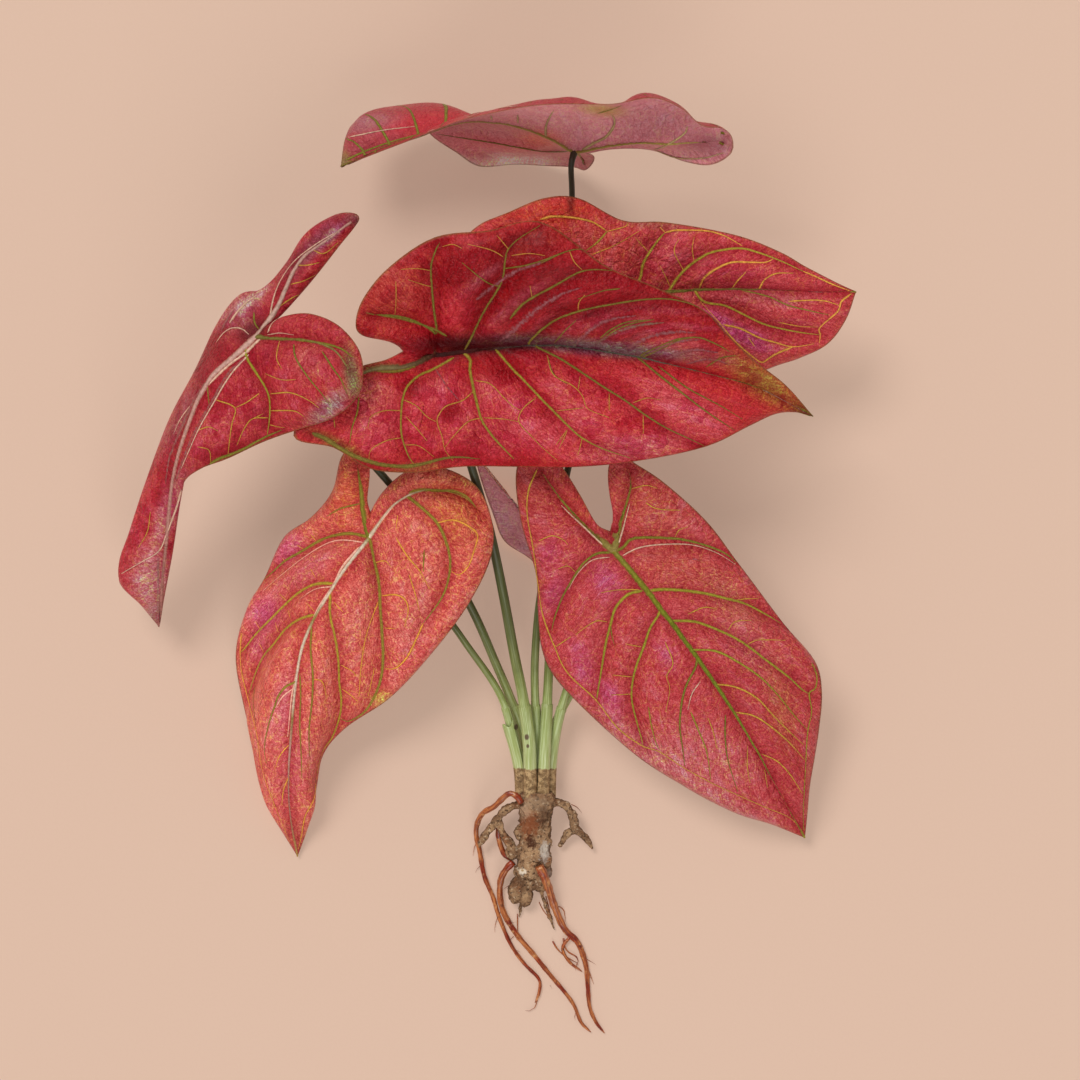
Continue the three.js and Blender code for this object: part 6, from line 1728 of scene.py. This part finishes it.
def root_stem(name, radii, route, sides=ROOT_SIDES):
    """A root that thins along its route, a little knotty, to a fine tip."""
    curve = Curve(route)
    first, last = radii
    often, seldom = ROOT_KNOT_WAVES
    rings = []
    for height in np.arange(0, curve.length - ROOT_TIP, ROOT_STEP):
        knots = 1 + ROOT_KNOTS * math.sin(height * often + len(route)) * math.sin(height * seldom)
        rings.append((height, (first + (last - first) * height / curve.length) * knots))
    for short, share in zip((ROOT_TIP / 2, 0), ROOT_TIP_RADII):
        rings.append((curve.length - short, last * share))
    return stem(name, curve, rings, sides)


def ball(at, size, turn=0.0):
    select()
    bpy.ops.mesh.primitive_uv_sphere_add(
        segments=KNOB_SIDES, ring_count=KNOB_SIDES // 2, radius=MM, location=(0, 0, 0),
    )
    piece = bpy.context.object
    with edit_all():
        bpy.ops.transform.resize(value=size, center_override=(0, 0, 0))
        bpy.ops.transform.rotate(value=-turn, orient_axis="Z", center_override=(0, 0, 0))
        bpy.ops.transform.translate(value=[length * MM for length in at])
    return piece


def make_buds(curve, radius_at):
    """Buds in a spiral round the rhizome."""
    buds = RHIZOME["buds"]
    for number in range(buds["count"]):
        share = buds["from"] + (buds["to"] - buds["from"]) * number / buds["count"]
        angle = number * BUD_TURN
        reach = radius_at(share) - buds["sunk"]
        size = buds["radius"] * (1 + buds["variation"] * math.sin(angle))
        at = curve.by_share(share)[0] + np.array([reach * math.cos(angle), 0, reach * math.sin(angle)])
        yield ball(at, (size, size * buds["flatness"], size))


def make_rhizome():
    """The short stem under the stalks, with its knobs, buds and stout roots, as one rough body."""
    curve = Curve(RHIZOME["axis"])
    shares, radii = zip(*RHIZOME["radii"])

    def radius_at(share):
        return float(np.interp(share, shares, radii))

    heights = np.linspace(0, curve.length, RHIZOME_RINGS)
    rings = [(height, radius_at(height / curve.length)) for height in heights]
    pieces = [stem("rhizome_body", curve, rings, RHIZOME_SIDES)]
    pieces += [ball(*knob) for knob in RHIZOME["knobs"]]
    pieces += make_buds(curve, radius_at)
    pieces += [root_stem("stout_root", *root) for root in RHIZOME["stout_roots"]]
    whole = joined(pieces, "rhizome_rough")
    remesh = whole.modifiers.new("grow_together", "REMESH")
    remesh.mode = "VOXEL"
    remesh.voxel_size = RHIZOME_VOXEL * MM
    for name, size, height in ROUGHNESS:
        texture = bpy.data.textures.new(name, "CLOUDS")
        texture.noise_scale = size * MM
        texture.noise_depth = 2
        rough = whole.modifiers.new(name, "DISPLACE")
        rough.texture = texture
        rough.texture_coords = "LOCAL"
        rough.strength = height * MM
    apply_modifiers(whole)
    with edit_all():
        bpy.ops.mesh.bisect(plane_co=(0, 0, 0), plane_no=(0, 0, 1), use_fill=True, clear_inner=True)
    bpy.ops.object.shade_smooth()
    return whole


def make_hair_roots():
    stems = []
    for radius, *route in HAIR_ROOTS:
        spots = [(x, y, HAIR_HEIGHT + radius) for x, y in np.reshape(route, (-1, 2))]
        stems.append(root_stem("hair_root", (radius, radius * HAIR_THINS), spots, HAIR_SIDES))
    return joined(stems, "hair_roots")


def place_piece(piece, finish, slot, *nodes):
    piece.data.materials.clear()
    piece.data.materials.append(finish)
    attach(piece, "root")
    if nodes:
        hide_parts(*nodes)


# ---- Camera, floor and light

def make_camera():
    """The camera straight above."""
    data = bpy.data.cameras.new("camera_above")
    data.sensor_width = SENSOR_WIDTH
    data.lens = SENSOR_WIDTH * (EYE[2] - PLAN_HEIGHT) / VIEW_WIDTH
    data.clip_end = FARTHEST_SEEN
    camera = linked("camera_above", data)
    camera.location = EYE * MM
    bpy.context.scene.camera = camera
    bpy.context.scene.view_settings.view_transform = "Standard"


def make_floor():
    """A plain pale table that is lit a little from below."""
    bpy.ops.mesh.primitive_plane_add(size=FLOOR_SIZE, location=(0, 0, 0))
    floor = bpy.context.object
    floor.name = "pale_table"
    n = Nodes(bpy.data.materials.new("pale_paper"))
    grain = n.noise(n.object_place(), *TABLE_GRAIN)
    color = n.mix(grain, *TABLE_COLORS)
    lit = 1 - TABLE_GLOW
    floor.data.materials.append(n.finish(
        Base_Color=n.tinted(color, (lit, lit, lit, 1)), Emission_Color=color, Emission_Strength=TABLE_GLOW,
        Roughness=0.9, Specular_IOR_Level=0.1, Normal=n.bump(grain, *TABLE_BUMP),
    ))


def make_room():
    """Soft light all round, which reflections see as a dark room with one large window, and two suns."""
    n = Nodes(bpy.data.worlds.new("soft_room"))
    direction = n.add("TexCoord").outputs["Generated"]
    upward = n.vectors("DOT_PRODUCT", direction, (0, 0, 1))
    to_window = n.vectors("DOT_PRODUCT", direction, Vector(WINDOW_TOWARDS).normalized())
    strength = n.add("Mix", {
        "Factor": n.add("LightPath").outputs["Is Glossy Ray"],
        "A": n.step(upward, 0, 1, FILL_LOW, FILL_HIGH, kind="LINEAR"),
        "B": n.step(to_window, *WINDOW_EDGE, GLOSS_DARK, GLOSS_WINDOW),
    })
    bpy.context.scene.world = n.finish("Background", Color=ROOM_COLOR, Strength=strength.outputs["Result"])
    for name, towards, power, spread, highlight in SUNS:
        data = bpy.data.lights.new(name, "SUN")
        data.energy = power
        data.angle = math.radians(spread)
        data.specular_factor = highlight
        linked(name, data).rotation_euler = Vector(towards).to_track_quat("Z", "Y").to_euler()


make_camera()
make_floor()
make_room()
leaf_finishes = {kind: leaf_material(f"caladium_{kind}", *LEAF_FINISHES[kind]) for kind in LEAF_FINISHES}
stalk_finish = stalk_material()
root_finish = root_material()
for place, look in LOOKS.items():
    blade = Blade(place)
    place_piece(blade.piece, leaf_finishes[look.get("finish", "plain")], look["slot"], f"leaf_{place}")
    place_piece(make_stalk(place, blade.sheet), stalk_finish, "stalk_green", f"stalk_{place}")
    if place == TORN_SHEATH["beside"]:
        place_piece(make_torn_sheath(blade.sheet), stalk_finish, "sheath_green", "torn_sheath")
place_piece(make_rhizome(), soil_material(), "soil_brown", "rhizome")
for name, stems in ROOTS.items():
    root = joined([root_stem(name, *numbers) for numbers in stems], f"{name}_orange")
    place_piece(root, root_finish, "root_orange", name)
place_piece(make_hair_roots(), root_finish, "root_orange")
